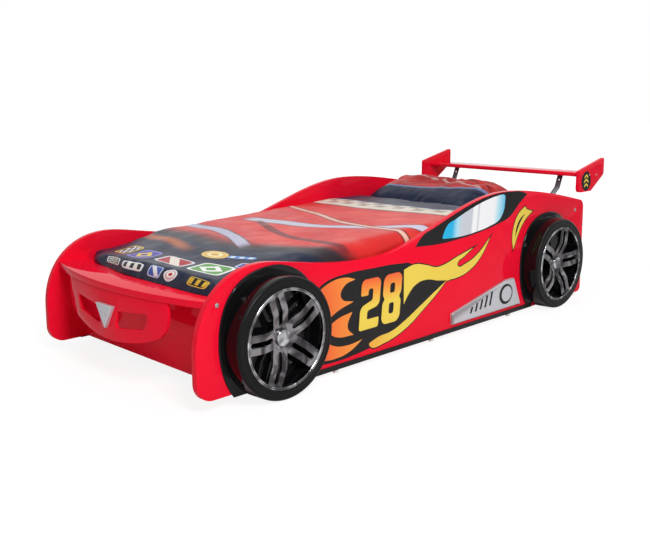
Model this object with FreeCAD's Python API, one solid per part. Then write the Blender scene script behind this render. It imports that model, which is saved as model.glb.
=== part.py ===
"""A child's bed built like a low race car.

Two shaped side boards stand on glides and hold a foot board, a headboard and a bonnet shelf.
A curved bumper hangs under the shelf, dummy wheels are screwed to the sides, and a wing stands
on two steel struts behind the headboard.  Slats on rails carry a mattress, a duvet and a pillow.

Sizes are in millimetres.  The model is drawn from the tip of the nose, with X to the rear, Z up
and the car's left side at -Y, and is moved at the end so that its origin lies under its middle.
"""
import FreeCAD, Part
import math
import os

Vector = FreeCAD.Vector

# ---- bedding
MATTRESS_LENGTH = 2000.0
MATTRESS_WIDTH = 900.0
MATTRESS_THICKNESS = 140.0
MATTRESS_CORNER = 45.0
MATTRESS_EDGE = 28.0
MATTRESS_SIDE_ROOM = 5.0
MATTRESS_HEAD_ROOM = 5.0
MATTRESS_FOOT_ROOM = 23.0
SOFT_GAP = 0.3
DUVET_SIDE_ROOM = 4.0
DUVET_FOOT_X = 112.0
DUVET_HEAD_X = 1694.0
DUVET_LIP = 36.0
DUVET_LIP_REACH = 44.0
DUVET_SWELL = 76.0
DUVET_SWELL_REACH = 480.0
DUVET_CROWN = 16.0
DUVET_CREST = 0.5
DUVET_CORNER = 130.0
DUVET_TUCK = 0.35
DUVET_HEM = 9.0
PILLOW_FRONT_X = 1700.0
PILLOW_LENGTH = 484.0
PILLOW_WIDTH = 652.0
PILLOW_HEIGHT = 180.0
PILLOW_SIDE_GAP = 5.0
PILLOW_LIP = 0.42
PILLOW_BACK = 0.80
PILLOW_FRONT_LEAN = 0.45
PILLOW_BACK_LEAN = 0.22
PILLOW_CROWN_PLACE = 0.6
PILLOW_PINCH = 0.2
PILLOW_END_ANGLE = 82.0
SOFT_STEPS = 6

# ---- boards
BOARD = 22.0
NOSE_OVERHANG = 155.0
TAIL_OVERHANG = 68.0
FLOOR_GAP = 14.0
FOOT_BOARD_BOTTOM = 46.0
HEADBOARD_BOTTOM = 64.0
HEADBOARD_TOP = 464.0
HEADBOARD_EDGE = 3.0

# ---- outline of the side panels
CHIN_HEIGHT = 44.0
CHIN_RADIUS = 62.0
NOSE_HEIGHT = 184.0
NOSE_FULLNESS = 0.60
FENDER_X = 265.0
FENDER_HEIGHT = 449.0
FENDER_REACH = 100.0
WAIST_X = 797.0
WAIST_HEIGHT = 389.0
WAIST_FRONT_REACH = 260.0
WAIST_REAR_REACH = 250.0
ROOF_X = 1607.0
ROOF_HEIGHT = 558.0
ROOF_FRONT_REACH = 290.0
ROOF_REAR_REACH = 200.0
TAIL_HEIGHT = 465.0
TAIL_SLOPE = 0.23
TAIL_REACH = 200.0
TAIL_RADIUS = 40.0
HEEL_RADIUS = 26.0

# ---- bonnet shelf and bumper
SHELF_HEIGHT = 354.0
SHELF_SIDE_X = 55.0
SHELF_BOW = 73.0
BUMPER_THICKNESS = 10.0
BUMPER_SETBACK = 3.0
BUMPER_HALF_WIDTH = 310.0
BUMPER_SIDE_DROP = 46.0
BUMPER_DEPTH = 173.0
BUMPER_CORNER = 90.0
BLOCK_LENGTH = 40.0
BLOCK_WIDTH = 70.0
BLOCK_HEIGHT = 36.0
BLOCK_Y = 180.0
BADGE_WIDTH = 102.0
BADGE_DROP = 50.0
BADGE_HEIGHT = 82.0
BADGE_THICKNESS = 15.0
BADGE_EDGE = 1.5

# Corners of a grille opening: distance from the car's middle, and drop below the shelf.
GRILLE_INNER_TOP = (64.0, 64.0)
GRILLE_OUTER_TOP = (226.0, 50.0)
GRILLE_OUTER_BOTTOM = (198.0, 106.0)
GRILLE_INNER_BOTTOM = (40.0, 126.0)
GRILLE_CORNER = 12.0

# ---- wheels
WHEEL_RADIUS = 205.0
WHEEL_DEPTH = 76.0
WHEEL_WALL = 4.0
FRONT_WHEEL_X = 307.0
WHEELBASE = 1670.0
ARCH_HALF_LENGTH = 221.0
ARCH_RISE = 231.0
ARCH_FRONT_FULLNESS = 0.65
ARCH_REAR_FULLNESS = 0.55
ARCH_FOOT_HALF_LENGTH = 166.0
ARCH_KNEE_RISE = 0.3
ARCH_KNEE_SWELL = 24.0
ARCH_THICKNESS = 6.0
ARCH_EDGE = 2.5
ARCH_BOTTOM = 34.0
TYRE_SHOULDER = 10.0
TYRE_BEAD = 3.0
TYRE_DRAFT = 2.0
BEAD_RADIUS = 168.0
RIM_SEAT = 8.0
RIM_SEAT_DEPTH = 14.0
RIM_WIDTH = 11.0
RIM_OVERLAP = 2.0
RIM_EDGE = 3.0
RIM_PROUD = 2.0
DISH_FLOOR = 24.0
DISH_DRAFT = 6.0
SPOKE_COUNT = 5
SPOKE_PAIR_WIDTH = 64.0
SPOKE_SLOT_WIDTH = 17.0
SPOKE_SLOT_START = 46.0
SPOKE_SLOT_END = 149.0
SPOKE_THICKNESS = 10.0
SPOKE_KINK_RADIUS = 94.0
SPOKE_KINK_DROP = 4.0
SPOKE_RIM_DROP = 7.0
SPOKE_HUB_DROP = 24.0
FRONT_SPOKE_ANGLE = 34.0
REAR_SPOKE_ANGLE = 5.0
HUB_RADIUS = 42.0
HUB_FOOT_RADIUS = 34.0
HUB_CAP_RADIUS = 29.0
HUB_CAP_HEIGHT = 8.0
HUB_CAP_ROUND = 5.6

# ---- trim on the side panels
SKIRT_HEIGHT = 19.0
SKIRT_THICKNESS = 3.0
SKIRT_GAP = 3.0
SILL_PLATE_FRONT_X = 1260.0
SILL_PLATE_LENGTH = 494.0
SILL_PLATE_TOP_FRONT = 380.0
SILL_PLATE_TOP_REAR = 440.0
SILL_PLATE_BOTTOM = 48.0
SILL_PLATE_NOSE_HIGH = 94.0
SILL_PLATE_TOP = 173.0
SILL_PLATE_CORNER = 4.0
SILL_PLATE_THICKNESS = 14.0
SILL_PLATE_BEVEL = 5.0

# ---- wing
WING_FRONT_X = 2298.0
WING_CHORD = 168.0
WING_TOP = 588.0
WING_THICKNESS = 20.0
WING_TILT = 2.4
WING_EDGE = 6.0
PLATE_FRONT_X = 2242.0
PLATE_FOOT_X = 2362.0
PLATE_REAR_X = 2481.0
PLATE_BOTTOM = 498.0
PLATE_FRONT_TOP = 600.0
PLATE_REAR_TOP = 654.0
PLATE_REAR_LOW = 572.0
PLATE_CORNER = 20.0
PLATE_FRONT_CORNER = 22.0
PLATE_TOP_CORNER = 10.0
PLATE_THICKNESS = 16.0
PLATE_SCREW_BITE = 24.0
STRUT_Y = 315.0
STRUT_WIDTH = 28.0
STRUT_THICKNESS = 4.0
STRUT_FOOT = 349.0
STRUT_BEND = 438.0
STRUT_KINK_X = 2322.0
STRUT_KINK_HEIGHT = 506.0
STRUT_TOP_START = 52.0
STRUT_TOP_LENGTH = 50.0
STRUT_SCREW_MARGIN = 20.0
STRUT_HOLE_RISE = 36.0
STRUT_HOLE_RADIUS = 4.0

# ---- slat base
SLAT_COUNT = 14
SLAT_WIDTH = 70.0
SLAT_THICKNESS = 18.0
SLAT_EDGE = 3.0
SLAT_END_ROOM = 5.0
SLAT_END_MARGIN = 12.0
SLAT_TOP = 236.0
RAIL_WIDTH = 40.0
RAIL_HEIGHT = 40.0
RAIL_END_ROOM = 5.0
WEBBING_WIDTH = 30.0
WEBBING_THICKNESS = 1.5
WEBBING_Y = 300.0

# ---- fixings
HOLE_ROOM = 0.3
THREAD_ROOM = 0.15
BOLT_RADIUS = 3.0
BOLT_LENGTH = 66.0
BOLT_HEAD_RADIUS = 7.5
BOLT_HEAD = 2.5
BOLT_HEAD_EDGE = 1.0
BOLT_KEY_RADIUS = 2.5
BOLT_KEY_DEPTH = 1.5
NUT_RADIUS = 5.0
NUT_LENGTH = 14.0
NUT_INSET = 34.0
SCREW_RADIUS = 2.0
SCREW_HEAD_RADIUS = 4.5
SCREW_HEAD = 2.0
SCREW_HEAD_ROUND = 1.2
SCREW_BITE = 0.6
RAIL_SCREW_COUNT = 6
WHEEL_SCREW_COUNT = 4
STRUT_TOP_SCREWS = (0.3, 0.8)
PLATE_SCREWS = (0.25, 0.65)
WHEEL_SCREW_START = -15.0
WHEEL_SCREW_SWEEP = 210.0
WHEEL_SCREW_INSET = 8.5
SHELF_BOLT_X = 84.0
FOOT_BOLT_HEIGHTS = (99.0, 274.0)
HEAD_BOLT_HEIGHTS = (144.0, 420.0)
GLIDE_RADIUS = 10.0
GLIDE_EDGE = 1.5
GLIDE_X = (610.0, 1150.0, 1690.0, 2235.0)

# ---- places that follow from the sizes above
INNER_Y = MATTRESS_WIDTH / 2 + MATTRESS_SIDE_ROOM
OUTER_Y = INNER_Y + BOARD
FOOT_BOARD_REAR = NOSE_OVERHANG + BOARD
MATTRESS_FOOT_X = FOOT_BOARD_REAR + MATTRESS_FOOT_ROOM
MATTRESS_HEAD_X = MATTRESS_FOOT_X + MATTRESS_LENGTH
HEADBOARD_X = MATTRESS_HEAD_X + MATTRESS_HEAD_ROOM
HEADBOARD_REAR = HEADBOARD_X + BOARD
BODY_LENGTH = HEADBOARD_REAR + TAIL_OVERHANG
WING_END_Y = OUTER_Y - PLATE_THICKNESS
SLAT_UNDERSIDE = SLAT_TOP - SLAT_THICKNESS
MATTRESS_TOP = SLAT_TOP + MATTRESS_THICKNESS
SHELF_UNDERSIDE = SHELF_HEIGHT - BOARD
BOW_FRONT_X = SHELF_SIDE_X - SHELF_BOW
BOW_RADIUS = (INNER_Y ** 2 + SHELF_BOW ** 2) / (2 * SHELF_BOW)
BOW_CENTRE_X = BOW_FRONT_X + BOW_RADIUS
BUMPER_RADIUS = BOW_RADIUS - BUMPER_SETBACK
BUMPER_FRONT_X = BOW_CENTRE_X - BUMPER_RADIUS
REAR_WHEEL_X = FRONT_WHEEL_X + WHEELBASE
DISH_RADIUS = BEAD_RADIUS - RIM_SEAT
RIM_RADIUS = BEAD_RADIUS - RIM_WIDTH


def rounded_face(points, radii):
    """Closed face through points, each corner rounded with its own radius."""
    count = len(points)
    arcs = []
    for number, corner in enumerate(points):
        before = (points[number - 1] - corner).normalize()
        after = (points[(number + 1) % count] - corner).normalize()
        half = before.getAngle(after) / 2
        bisector = (before + after).normalize()
        reach = radii[number] / math.tan(half)
        middle = corner + bisector * (radii[number] / math.sin(half) - radii[number])
        arcs.append((corner + before * reach, middle, corner + after * reach))
    edges = []
    for number, (start, middle, end) in enumerate(arcs):
        edges.append(Part.Arc(start, middle, end).toShape())
        edges.append(Part.makeLine(end, arcs[(number + 1) % count][0]))
    return Part.Face(Part.Wire(edges))


def polygon(points):
    """Closed face with straight sides through points."""
    return Part.Face(Part.makePolygon(points + [points[0]]))


def box(x, y, z):
    """Block between two values on each axis."""
    return Part.makeBox(x[1] - x[0], y[1] - y[0], z[1] - z[0], Vector(x[0], y[0], z[0]))


def rod(start, direction, radius, length):
    """Round bar from a point along a direction."""
    return Part.makeCylinder(radius, length, start, direction)


def mirrored(shape):
    """The same piece on the other side of the car."""
    return shape.mirror(Vector(0, 0, 0), Vector(0, 1, 0))


def edges_at(solid, axis, value):
    """Edges that lie wholly in the plane where one axis has one value."""
    found = []
    for edge in solid.Edges:
        low = getattr(edge.BoundBox, axis + "Min")
        high = getattr(edge.BoundBox, axis + "Max")
        if abs(low - value) < 0.01 and abs(high - value) < 0.01:
            found.append(edge)
    return found


def edges_along(solid, direction):
    """Straight edges that run along a direction."""
    return [edge for edge in solid.Edges
            if edge.Curve.TypeId == "Part::GeomLine" and abs(edge.tangentAt(0).dot(direction)) > 0.999]


# ---------------------------------------------------------------- fixings

def bolt_places():
    """Furniture bolts of the left panel: X, Z and the way in which the nut's hole opens."""
    places = [(SHELF_BOLT_X, SHELF_HEIGHT - BOARD / 2, Vector(0, 0, -1))]
    for height in FOOT_BOLT_HEIGHTS:
        places.append((NOSE_OVERHANG + BOARD / 2, height, Vector(1, 0, 0)))
    for height in HEAD_BOLT_HEIGHTS:
        places.append((HEADBOARD_X + BOARD / 2, height, Vector(-1, 0, 0)))
    return places


def bolt_shank(x, z, room):
    """Shank of a bolt through the left panel, or its hole where room widens it."""
    return rod(Vector(x, -OUTER_Y, z), Vector(0, 1, 0), BOLT_RADIUS + room, BOLT_LENGTH + room)


def panel_bolt(x, z):
    """Bolt whose flat round head lies on the left panel's outer face."""
    front = -OUTER_Y - BOLT_HEAD
    head = rod(Vector(x, front, z), Vector(0, 1, 0), BOLT_HEAD_RADIUS, BOLT_HEAD)
    head = head.makeFillet(BOLT_HEAD_EDGE, edges_at(head, "Y", front))
    key = rod(Vector(x, front - 1, z), Vector(0, 1, 0), BOLT_KEY_RADIUS, 1 + BOLT_KEY_DEPTH)
    return head.cut(key).fuse(bolt_shank(x, z, 0)).removeSplitter()


def nut_blank(x, z, mouth, room):
    """Round of a cross nut, centred in the board's thickness."""
    length = NUT_LENGTH + 2 * room
    centre = Vector(x, -INNER_Y + NUT_INSET, z)
    return rod(centre - mouth * (length / 2), mouth, NUT_RADIUS + room, length)


def barrel_nut(x, z, mouth):
    """Cross nut that its bolt draws towards the left panel."""
    return nut_blank(x, z, mouth, 0).cut(bolt_shank(x, z, THREAD_ROOM))


def nut_hole(x, z, mouth):
    """Hole of a cross nut, open on the side that the mattress or the shelf hides."""
    centre = Vector(x, -INNER_Y + NUT_INSET, z)
    way_in = rod(centre, mouth, NUT_RADIUS + HOLE_ROOM, BOARD / 2 + 1)
    return nut_blank(x, z, mouth, HOLE_ROOM).fuse(way_in)


def bolt_holes():
    """Every bolt and nut hole of both sides, as one tool."""
    tools = []
    for x, z, mouth in bolt_places():
        left = bolt_shank(x, z, HOLE_ROOM).fuse(nut_hole(x, z, mouth))
        tools += [left, mirrored(left)]
    return Part.makeCompound(tools)


def screw(seat, direction, length):
    """Pan head screw: its head rests on seat and its shank runs along direction."""
    head = rod(seat - direction * SCREW_HEAD, direction, SCREW_HEAD_RADIUS, SCREW_HEAD)
    rims = [edge for edge in head.Edges if edge.Curve.TypeId == "Part::GeomCircle"]
    outer = [edge for edge in rims if (edge.CenterOfMass - seat).Length > SCREW_HEAD / 2]
    head = head.makeFillet(SCREW_HEAD_ROUND, outer)
    return head.fuse(rod(seat, direction, SCREW_RADIUS, length)).removeSplitter()


def screw_hole(seat, direction, length):
    """Hole that clears a screw's shank."""
    return rod(seat, direction, SCREW_RADIUS + HOLE_ROOM, length + HOLE_ROOM)


def rail_screws(make):
    """Screws, or their holes, through the left rail into the side panel."""
    first = FOOT_BOARD_REAR + RAIL_END_ROOM + RAIL_WIDTH
    last = HEADBOARD_X - RAIL_END_ROOM - RAIL_WIDTH
    step = (last - first) / (RAIL_SCREW_COUNT - 1)
    height = SLAT_UNDERSIDE - RAIL_HEIGHT / 2
    face = -INNER_Y + RAIL_WIDTH
    length = RAIL_WIDTH + BOARD * SCREW_BITE
    return [make(Vector(first + step * number, face, height), Vector(0, -1, 0), length)
            for number in range(RAIL_SCREW_COUNT)]


def wheel_screws(make, wheel_x):
    """Screws, or their holes, from inside the left panel into a wheel's arch flange."""
    ring = WHEEL_RADIUS + WHEEL_SCREW_INSET
    length = BOARD + ARCH_THICKNESS * SCREW_BITE
    screws = []
    for number in range(WHEEL_SCREW_COUNT):
        angle = math.radians(WHEEL_SCREW_START + WHEEL_SCREW_SWEEP * number / (WHEEL_SCREW_COUNT - 1))
        seat = Vector(wheel_x + ring * math.cos(angle), -INNER_Y, WHEEL_RADIUS + ring * math.sin(angle))
        screws.append(make(seat, Vector(0, -1, 0), length))
    return screws


def strut_foot_screws(make):
    """Screws, or their holes, from behind the left strut into the headboard."""
    low = STRUT_FOOT + STRUT_SCREW_MARGIN
    high = STRUT_BEND - STRUT_SCREW_MARGIN
    length = STRUT_THICKNESS + BOARD * SCREW_BITE
    seat_x = HEADBOARD_REAR + STRUT_THICKNESS
    return [make(Vector(seat_x, -STRUT_Y, height), Vector(-1, 0, 0), length) for height in (low, high)]


def strut_top_screws(make):
    """Screws, or their holes, up through the left strut into the wing."""
    chord, upright = wing_directions()
    length = STRUT_THICKNESS + WING_THICKNESS * SCREW_BITE
    screws = []
    for share in STRUT_TOP_SCREWS:
        along = chord * (STRUT_TOP_START + STRUT_TOP_LENGTH * share)
        seat = wing_underside_start() + along - upright * STRUT_THICKNESS + Vector(0, -STRUT_Y, 0)
        screws.append(make(seat, upright, length))
    return screws


def end_plate_screws(make):
    """Screws, or their holes, through the left end plate into the wing's end."""
    chord, upright = wing_directions()
    length = PLATE_THICKNESS + PLATE_SCREW_BITE
    seat = wing_underside_start() + upright * (WING_THICKNESS / 2) + Vector(0, -OUTER_Y, 0)
    return [make(seat + chord * (WING_CHORD * share), Vector(0, 1, 0), length) for share in PLATE_SCREWS]


# ---------------------------------------------------------------- body boards

def bend(*poles):
    """Smooth edge that leaves its first pole towards the second and meets its last from the third."""
    curve = Part.BezierCurve()
    curve.setPoles(list(poles))
    return curve.toShape()


def side_outline():
    """Edge of a side panel: nose, front arch, waist, roof, tail and the long straight foot."""
    level = Vector(1, 0, 0)
    nose = Vector(0, 0, NOSE_HEIGHT)
    fender = Vector(FENDER_X, 0, FENDER_HEIGHT)
    waist = Vector(WAIST_X, 0, WAIST_HEIGHT)
    roof = Vector(ROOF_X, 0, ROOF_HEIGHT)
    lean = math.atan(TAIL_SLOPE)
    tail_way = Vector(math.cos(lean), 0, -math.sin(lean))
    tail_up = Vector(math.sin(lean), 0, math.cos(lean))
    tail = Vector(BODY_LENGTH - TAIL_RADIUS, 0, TAIL_HEIGHT - TAIL_RADIUS) + tail_up * TAIL_RADIUS
    tail_centre = tail - tail_up * TAIL_RADIUS
    turn = (lean + math.pi / 2) / 2
    tail_middle = tail_centre + Vector(math.sin(turn), 0, math.cos(turn)) * TAIL_RADIUS
    tail_end = tail_centre + level * TAIL_RADIUS
    heel_centre = Vector(BODY_LENGTH - HEEL_RADIUS, 0, FLOOR_GAP + HEEL_RADIUS)
    heel_middle = heel_centre + Vector(1, 0, -1) * (HEEL_RADIUS * math.sqrt(0.5))
    heel_start = heel_centre + level * HEEL_RADIUS
    heel_end = Vector(heel_centre.x, 0, FLOOR_GAP)
    step_low = Vector(FRONT_WHEEL_X + WHEEL_RADIUS / 2, 0, FLOOR_GAP)
    step_high = Vector(FRONT_WHEEL_X - WHEEL_RADIUS / 2, 0, CHIN_HEIGHT)
    chin_centre = Vector(CHIN_RADIUS, 0, CHIN_HEIGHT + CHIN_RADIUS)
    chin_middle = chin_centre - Vector(1, 0, 1) * (CHIN_RADIUS * math.sqrt(0.5))
    chin_start = Vector(CHIN_RADIUS, 0, CHIN_HEIGHT)
    chin_end = Vector(0, 0, chin_centre.z)
    nose_handle = nose + Vector(0, 0, (FENDER_HEIGHT - NOSE_HEIGHT) * NOSE_FULLNESS)
    return Part.Wire([
        bend(nose, nose_handle, fender - level * (FENDER_X * NOSE_FULLNESS), fender),
        bend(fender, fender + level * FENDER_REACH, waist - level * WAIST_FRONT_REACH, waist),
        bend(waist, waist + level * WAIST_REAR_REACH, roof - level * ROOF_FRONT_REACH, roof),
        bend(roof, roof + level * ROOF_REAR_REACH, tail - tail_way * TAIL_REACH, tail),
        Part.Arc(tail, tail_middle, tail_end).toShape(),
        Part.makeLine(tail_end, heel_start),
        Part.Arc(heel_start, heel_middle, heel_end).toShape(),
        Part.makeLine(heel_end, step_low),
        Part.makeLine(step_low, step_high),
        Part.makeLine(step_high, chin_start),
        Part.Arc(chin_start, chin_middle, chin_end).toShape(),
        Part.makeLine(chin_end, nose),
    ])


def side_panel():
    """Left side board with the holes of its fixings."""
    face = Part.Face(side_outline())
    face.translate(Vector(0, -OUTER_Y, 0))
    tools = [bolt_holes()] + rail_screws(screw_hole)
    for wheel_x in (FRONT_WHEEL_X, REAR_WHEEL_X):
        tools += wheel_screws(screw_hole, wheel_x)
    return face.extrude(Vector(0, BOARD, 0)).cut(Part.makeCompound(tools))


def foot_board():
    """Board across the foot of the mattress, under the shelf."""
    height = (FOOT_BOARD_BOTTOM, SHELF_UNDERSIDE)
    return box((NOSE_OVERHANG, FOOT_BOARD_REAR), (-INNER_Y, INNER_Y), height).cut(bolt_holes())


def headboard():
    """Board across the head of the mattress."""
    height = (HEADBOARD_BOTTOM, HEADBOARD_TOP)
    board = box((HEADBOARD_X, HEADBOARD_REAR), (-INNER_Y, INNER_Y), height)
    board = board.makeFillet(HEADBOARD_EDGE, edges_at(board, "Z", HEADBOARD_TOP))
    left = strut_foot_screws(screw_hole)
    tools = left + [mirrored(hole) for hole in left]
    return board.cut(bolt_holes()).cut(Part.makeCompound(tools))


def disc_about_bow(radius, low, high):
    """Upright disc about the centre of the shelf's bowed front edge."""
    return Part.makeCylinder(radius, high - low, Vector(BOW_CENTRE_X, 0, low))


def bonnet_shelf():
    """Flat bonnet between the side panels, its front edge bowed forward."""
    low = SHELF_UNDERSIDE
    board = box((BOW_FRONT_X, FOOT_BOARD_REAR), (-INNER_Y, INNER_Y), (low, SHELF_HEIGHT))
    return board.common(disc_about_bow(BOW_RADIUS, low, SHELF_HEIGHT)).cut(bolt_holes())


def bumper_outline():
    """Bumper seen from the front: straight top and sides, one wide bow below."""
    top = SHELF_UNDERSIDE
    half = BUMPER_HALF_WIDTH
    side_end = top - BUMPER_SIDE_DROP
    bottom = top - BUMPER_DEPTH
    inset = half - BUMPER_CORNER
    drop = BUMPER_DEPTH - BUMPER_SIDE_DROP
    bow = (inset ** 2 + drop ** 2 - BUMPER_CORNER ** 2) / (2 * (drop - BUMPER_CORNER))
    lean = math.atan2(inset, bottom + bow - side_end)
    turn = (math.pi / 2 + lean) / 2
    left = [
        Vector(0, -half, side_end),
        Vector(0, -inset - BUMPER_CORNER * math.sin(turn), side_end - BUMPER_CORNER * math.cos(turn)),
        Vector(0, -bow * math.sin(lean), bottom + bow - bow * math.cos(lean)),
    ]
    right = [Vector(0, -point.y, point.z) for point in left]
    return Part.Face(Part.Wire([
        Part.makeLine(Vector(0, -half, top), Vector(0, half, top)),
        Part.makeLine(Vector(0, half, top), right[0]),
        Part.Arc(right[0], right[1], right[2]).toShape(),
        Part.Arc(right[2], Vector(0, 0, bottom), left[2]).toShape(),
        Part.Arc(left[2], left[1], left[0]).toShape(),
        Part.makeLine(left[0], Vector(0, -half, top)),
    ]))


def bumper():
    """Thin board bent round the shelf's own centre, with two mirrored grille openings."""
    start = Vector(BUMPER_FRONT_X - BOARD, 0, 0)
    reach = Vector(SHELF_BOW * 3, 0, 0)
    corners = (GRILLE_INNER_TOP, GRILLE_OUTER_TOP, GRILLE_OUTER_BOTTOM, GRILLE_INNER_BOTTOM)
    points = [start + Vector(0, -across, SHELF_UNDERSIDE - down) for across, down in corners]
    opening = rounded_face(points, [GRILLE_CORNER] * len(points)).extrude(reach)
    blank = bumper_outline()
    blank.translate(start)
    blank = blank.extrude(reach).cut(opening).cut(mirrored(opening))
    bottom = SHELF_UNDERSIDE - BUMPER_DEPTH - 1
    outer = disc_about_bow(BUMPER_RADIUS, bottom, SHELF_HEIGHT)
    inner = disc_about_bow(BUMPER_RADIUS - BUMPER_THICKNESS, bottom, SHELF_HEIGHT)
    return blank.common(outer.cut(inner))


def bumper_block():
    """Left block under the shelf, its front cut to the back of the bumper."""
    back = BUMPER_FRONT_X + BUMPER_THICKNESS
    low = SHELF_UNDERSIDE - BLOCK_HEIGHT
    wood = box((back, back + BLOCK_LENGTH), (-BLOCK_Y - BLOCK_WIDTH, -BLOCK_Y), (low, SHELF_UNDERSIDE))
    return wood.common(disc_about_bow(BUMPER_RADIUS - BUMPER_THICKNESS, low, SHELF_UNDERSIDE))


def badge():
    """Bare triangular plate on the middle of the bumper."""
    top = SHELF_UNDERSIDE - BADGE_DROP
    front = BUMPER_FRONT_X - BADGE_THICKNESS
    points = [
        Vector(front, -BADGE_WIDTH / 2, top),
        Vector(front, BADGE_WIDTH / 2, top),
        Vector(front, 0, top - BADGE_HEIGHT),
    ]
    plate = polygon(points).extrude(Vector(BADGE_THICKNESS + BUMPER_THICKNESS / 2, 0, 0))
    plate = plate.cut(disc_about_bow(BUMPER_RADIUS, top - BADGE_HEIGHT - 1, top + 1))
    return plate.makeChamfer(BADGE_EDGE, edges_at(plate, "X", front))


# ---------------------------------------------------------------- wheels

def on_left_panel(shape, wheel_x):
    """Put a wheel piece, drawn with its axle on Z, at a wheel's place on the left panel."""
    shape.rotate(Vector(0, 0, 0), Vector(1, 0, 0), 90)
    shape.translate(Vector(wheel_x, -OUTER_Y, WHEEL_RADIUS))
    return shape


def turned(points):
    """Solid of revolution about Z through radius and height points."""
    profile = polygon([Vector(radius, 0, height) for radius, height in points])
    return profile.revolve(Vector(0, 0, 0), Vector(0, 0, 1), 360)


def rings_at(solid, radius, height):
    """Round edges of a turned piece with one radius, at one height."""
    return [edge for edge in solid.Edges
            if edge.Curve.TypeId == "Part::GeomCircle"
            and abs(edge.Curve.Radius - radius) < 0.01
            and abs(edge.Curve.Center.z - height) < 0.01]


def arch_side(way, fullness):
    """Half of the arch's outline, from its foot up to its crown."""
    crown = Vector(0, ARCH_RISE, 0)
    waist = Vector(way * ARCH_HALF_LENGTH, 0, 0)
    foot = Vector(way * ARCH_FOOT_HALF_LENGTH, ARCH_BOTTOM - WHEEL_RADIUS, 0)
    knee = foot + (waist - foot) * ARCH_KNEE_RISE + Vector(way * ARCH_KNEE_SWELL, 0, 0)
    return [
        bend(foot, knee, waist + Vector(0, foot.y * ARCH_KNEE_RISE, 0), waist),
        bend(waist, waist + crown * fullness, crown + waist * fullness, crown),
    ]


def arch_flange():
    """Flat arch round the tyre, fuller in front than an ellipse, its feet drawn in."""
    front = arch_side(-1, ARCH_FRONT_FULLNESS)
    rear = arch_side(1, ARCH_REAR_FULLNESS)
    feet = [side[0].Vertexes[0].Point for side in (front, rear)]
    outline = Part.Wire(front + [rear[1], rear[0], Part.makeLine(feet[1], feet[0])])
    plate = Part.Face(outline).extrude(Vector(0, 0, ARCH_THICKNESS))
    return plate.makeChamfer(ARCH_EDGE, edges_at(plate, "Z", ARCH_THICKNESS))


def tyre_moulding(wheel_x):
    """Hollow moulding: arch flange, tyre barrel with a round shoulder, rim seat and dish."""
    wall = WHEEL_WALL
    seat = WHEEL_DEPTH - RIM_SEAT_DEPTH
    front_radius = WHEEL_RADIUS - TYRE_DRAFT
    outside = turned([
        (0, 0),
        (WHEEL_RADIUS, 0),
        (front_radius, WHEEL_DEPTH),
        (BEAD_RADIUS, WHEEL_DEPTH),
        (BEAD_RADIUS, seat),
        (DISH_RADIUS, seat),
        (DISH_RADIUS - DISH_DRAFT, DISH_FLOOR),
        (0, DISH_FLOOR),
    ])
    outside = outside.makeFillet(TYRE_SHOULDER, rings_at(outside, front_radius, WHEEL_DEPTH))
    outside = outside.makeFillet(TYRE_BEAD, rings_at(outside, BEAD_RADIUS, WHEEL_DEPTH))
    inside = turned([
        (0, -1),
        (WHEEL_RADIUS - wall, -1),
        (WHEEL_RADIUS - wall, 0),
        (front_radius - wall, WHEEL_DEPTH - TYRE_SHOULDER),
        (front_radius - TYRE_SHOULDER, WHEEL_DEPTH - wall),
        (BEAD_RADIUS + wall, WHEEL_DEPTH - wall),
        (BEAD_RADIUS + wall, seat - wall),
        (DISH_RADIUS + wall, seat - wall),
        (DISH_RADIUS - DISH_DRAFT + wall, DISH_FLOOR - wall),
        (0, DISH_FLOOR - wall),
    ])
    shell = on_left_panel(outside.fuse(arch_flange()).cut(inside).removeSplitter(), wheel_x)
    return shell.cut(Part.makeCompound(wheel_screws(screw_hole, wheel_x)))


def spoke_pair():
    """Two spokes with a slot between them, along X: a flat outer stretch, then a slope to the hub."""
    front = [
        (BEAD_RADIUS, WHEEL_DEPTH - SPOKE_RIM_DROP),
        (SPOKE_KINK_RADIUS, WHEEL_DEPTH - SPOKE_KINK_DROP),
        (HUB_FOOT_RADIUS, WHEEL_DEPTH - SPOKE_HUB_DROP),
    ]
    back = [(radius, height - SPOKE_THICKNESS) for radius, height in reversed(front)]
    half = SPOKE_PAIR_WIDTH / 2
    side = polygon([Vector(radius, -half, height) for radius, height in front + back])
    bars = side.extrude(Vector(0, SPOKE_PAIR_WIDTH, 0))
    half_slot = SPOKE_SLOT_WIDTH / 2
    slot = box((SPOKE_SLOT_START + half_slot, SPOKE_SLOT_END - half_slot), (-half_slot, half_slot),
               (0, WHEEL_DEPTH + 1))
    for end in (SPOKE_SLOT_START + half_slot, SPOKE_SLOT_END - half_slot):
        slot = slot.fuse(rod(Vector(end, 0, 0), Vector(0, 0, 1), half_slot, WHEEL_DEPTH + 1))
    reach = rod(Vector(0, 0, 0), Vector(0, 0, 1), RIM_RADIUS + RIM_OVERLAP, WHEEL_DEPTH + 1)
    return bars.cut(slot).common(reach)


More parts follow.
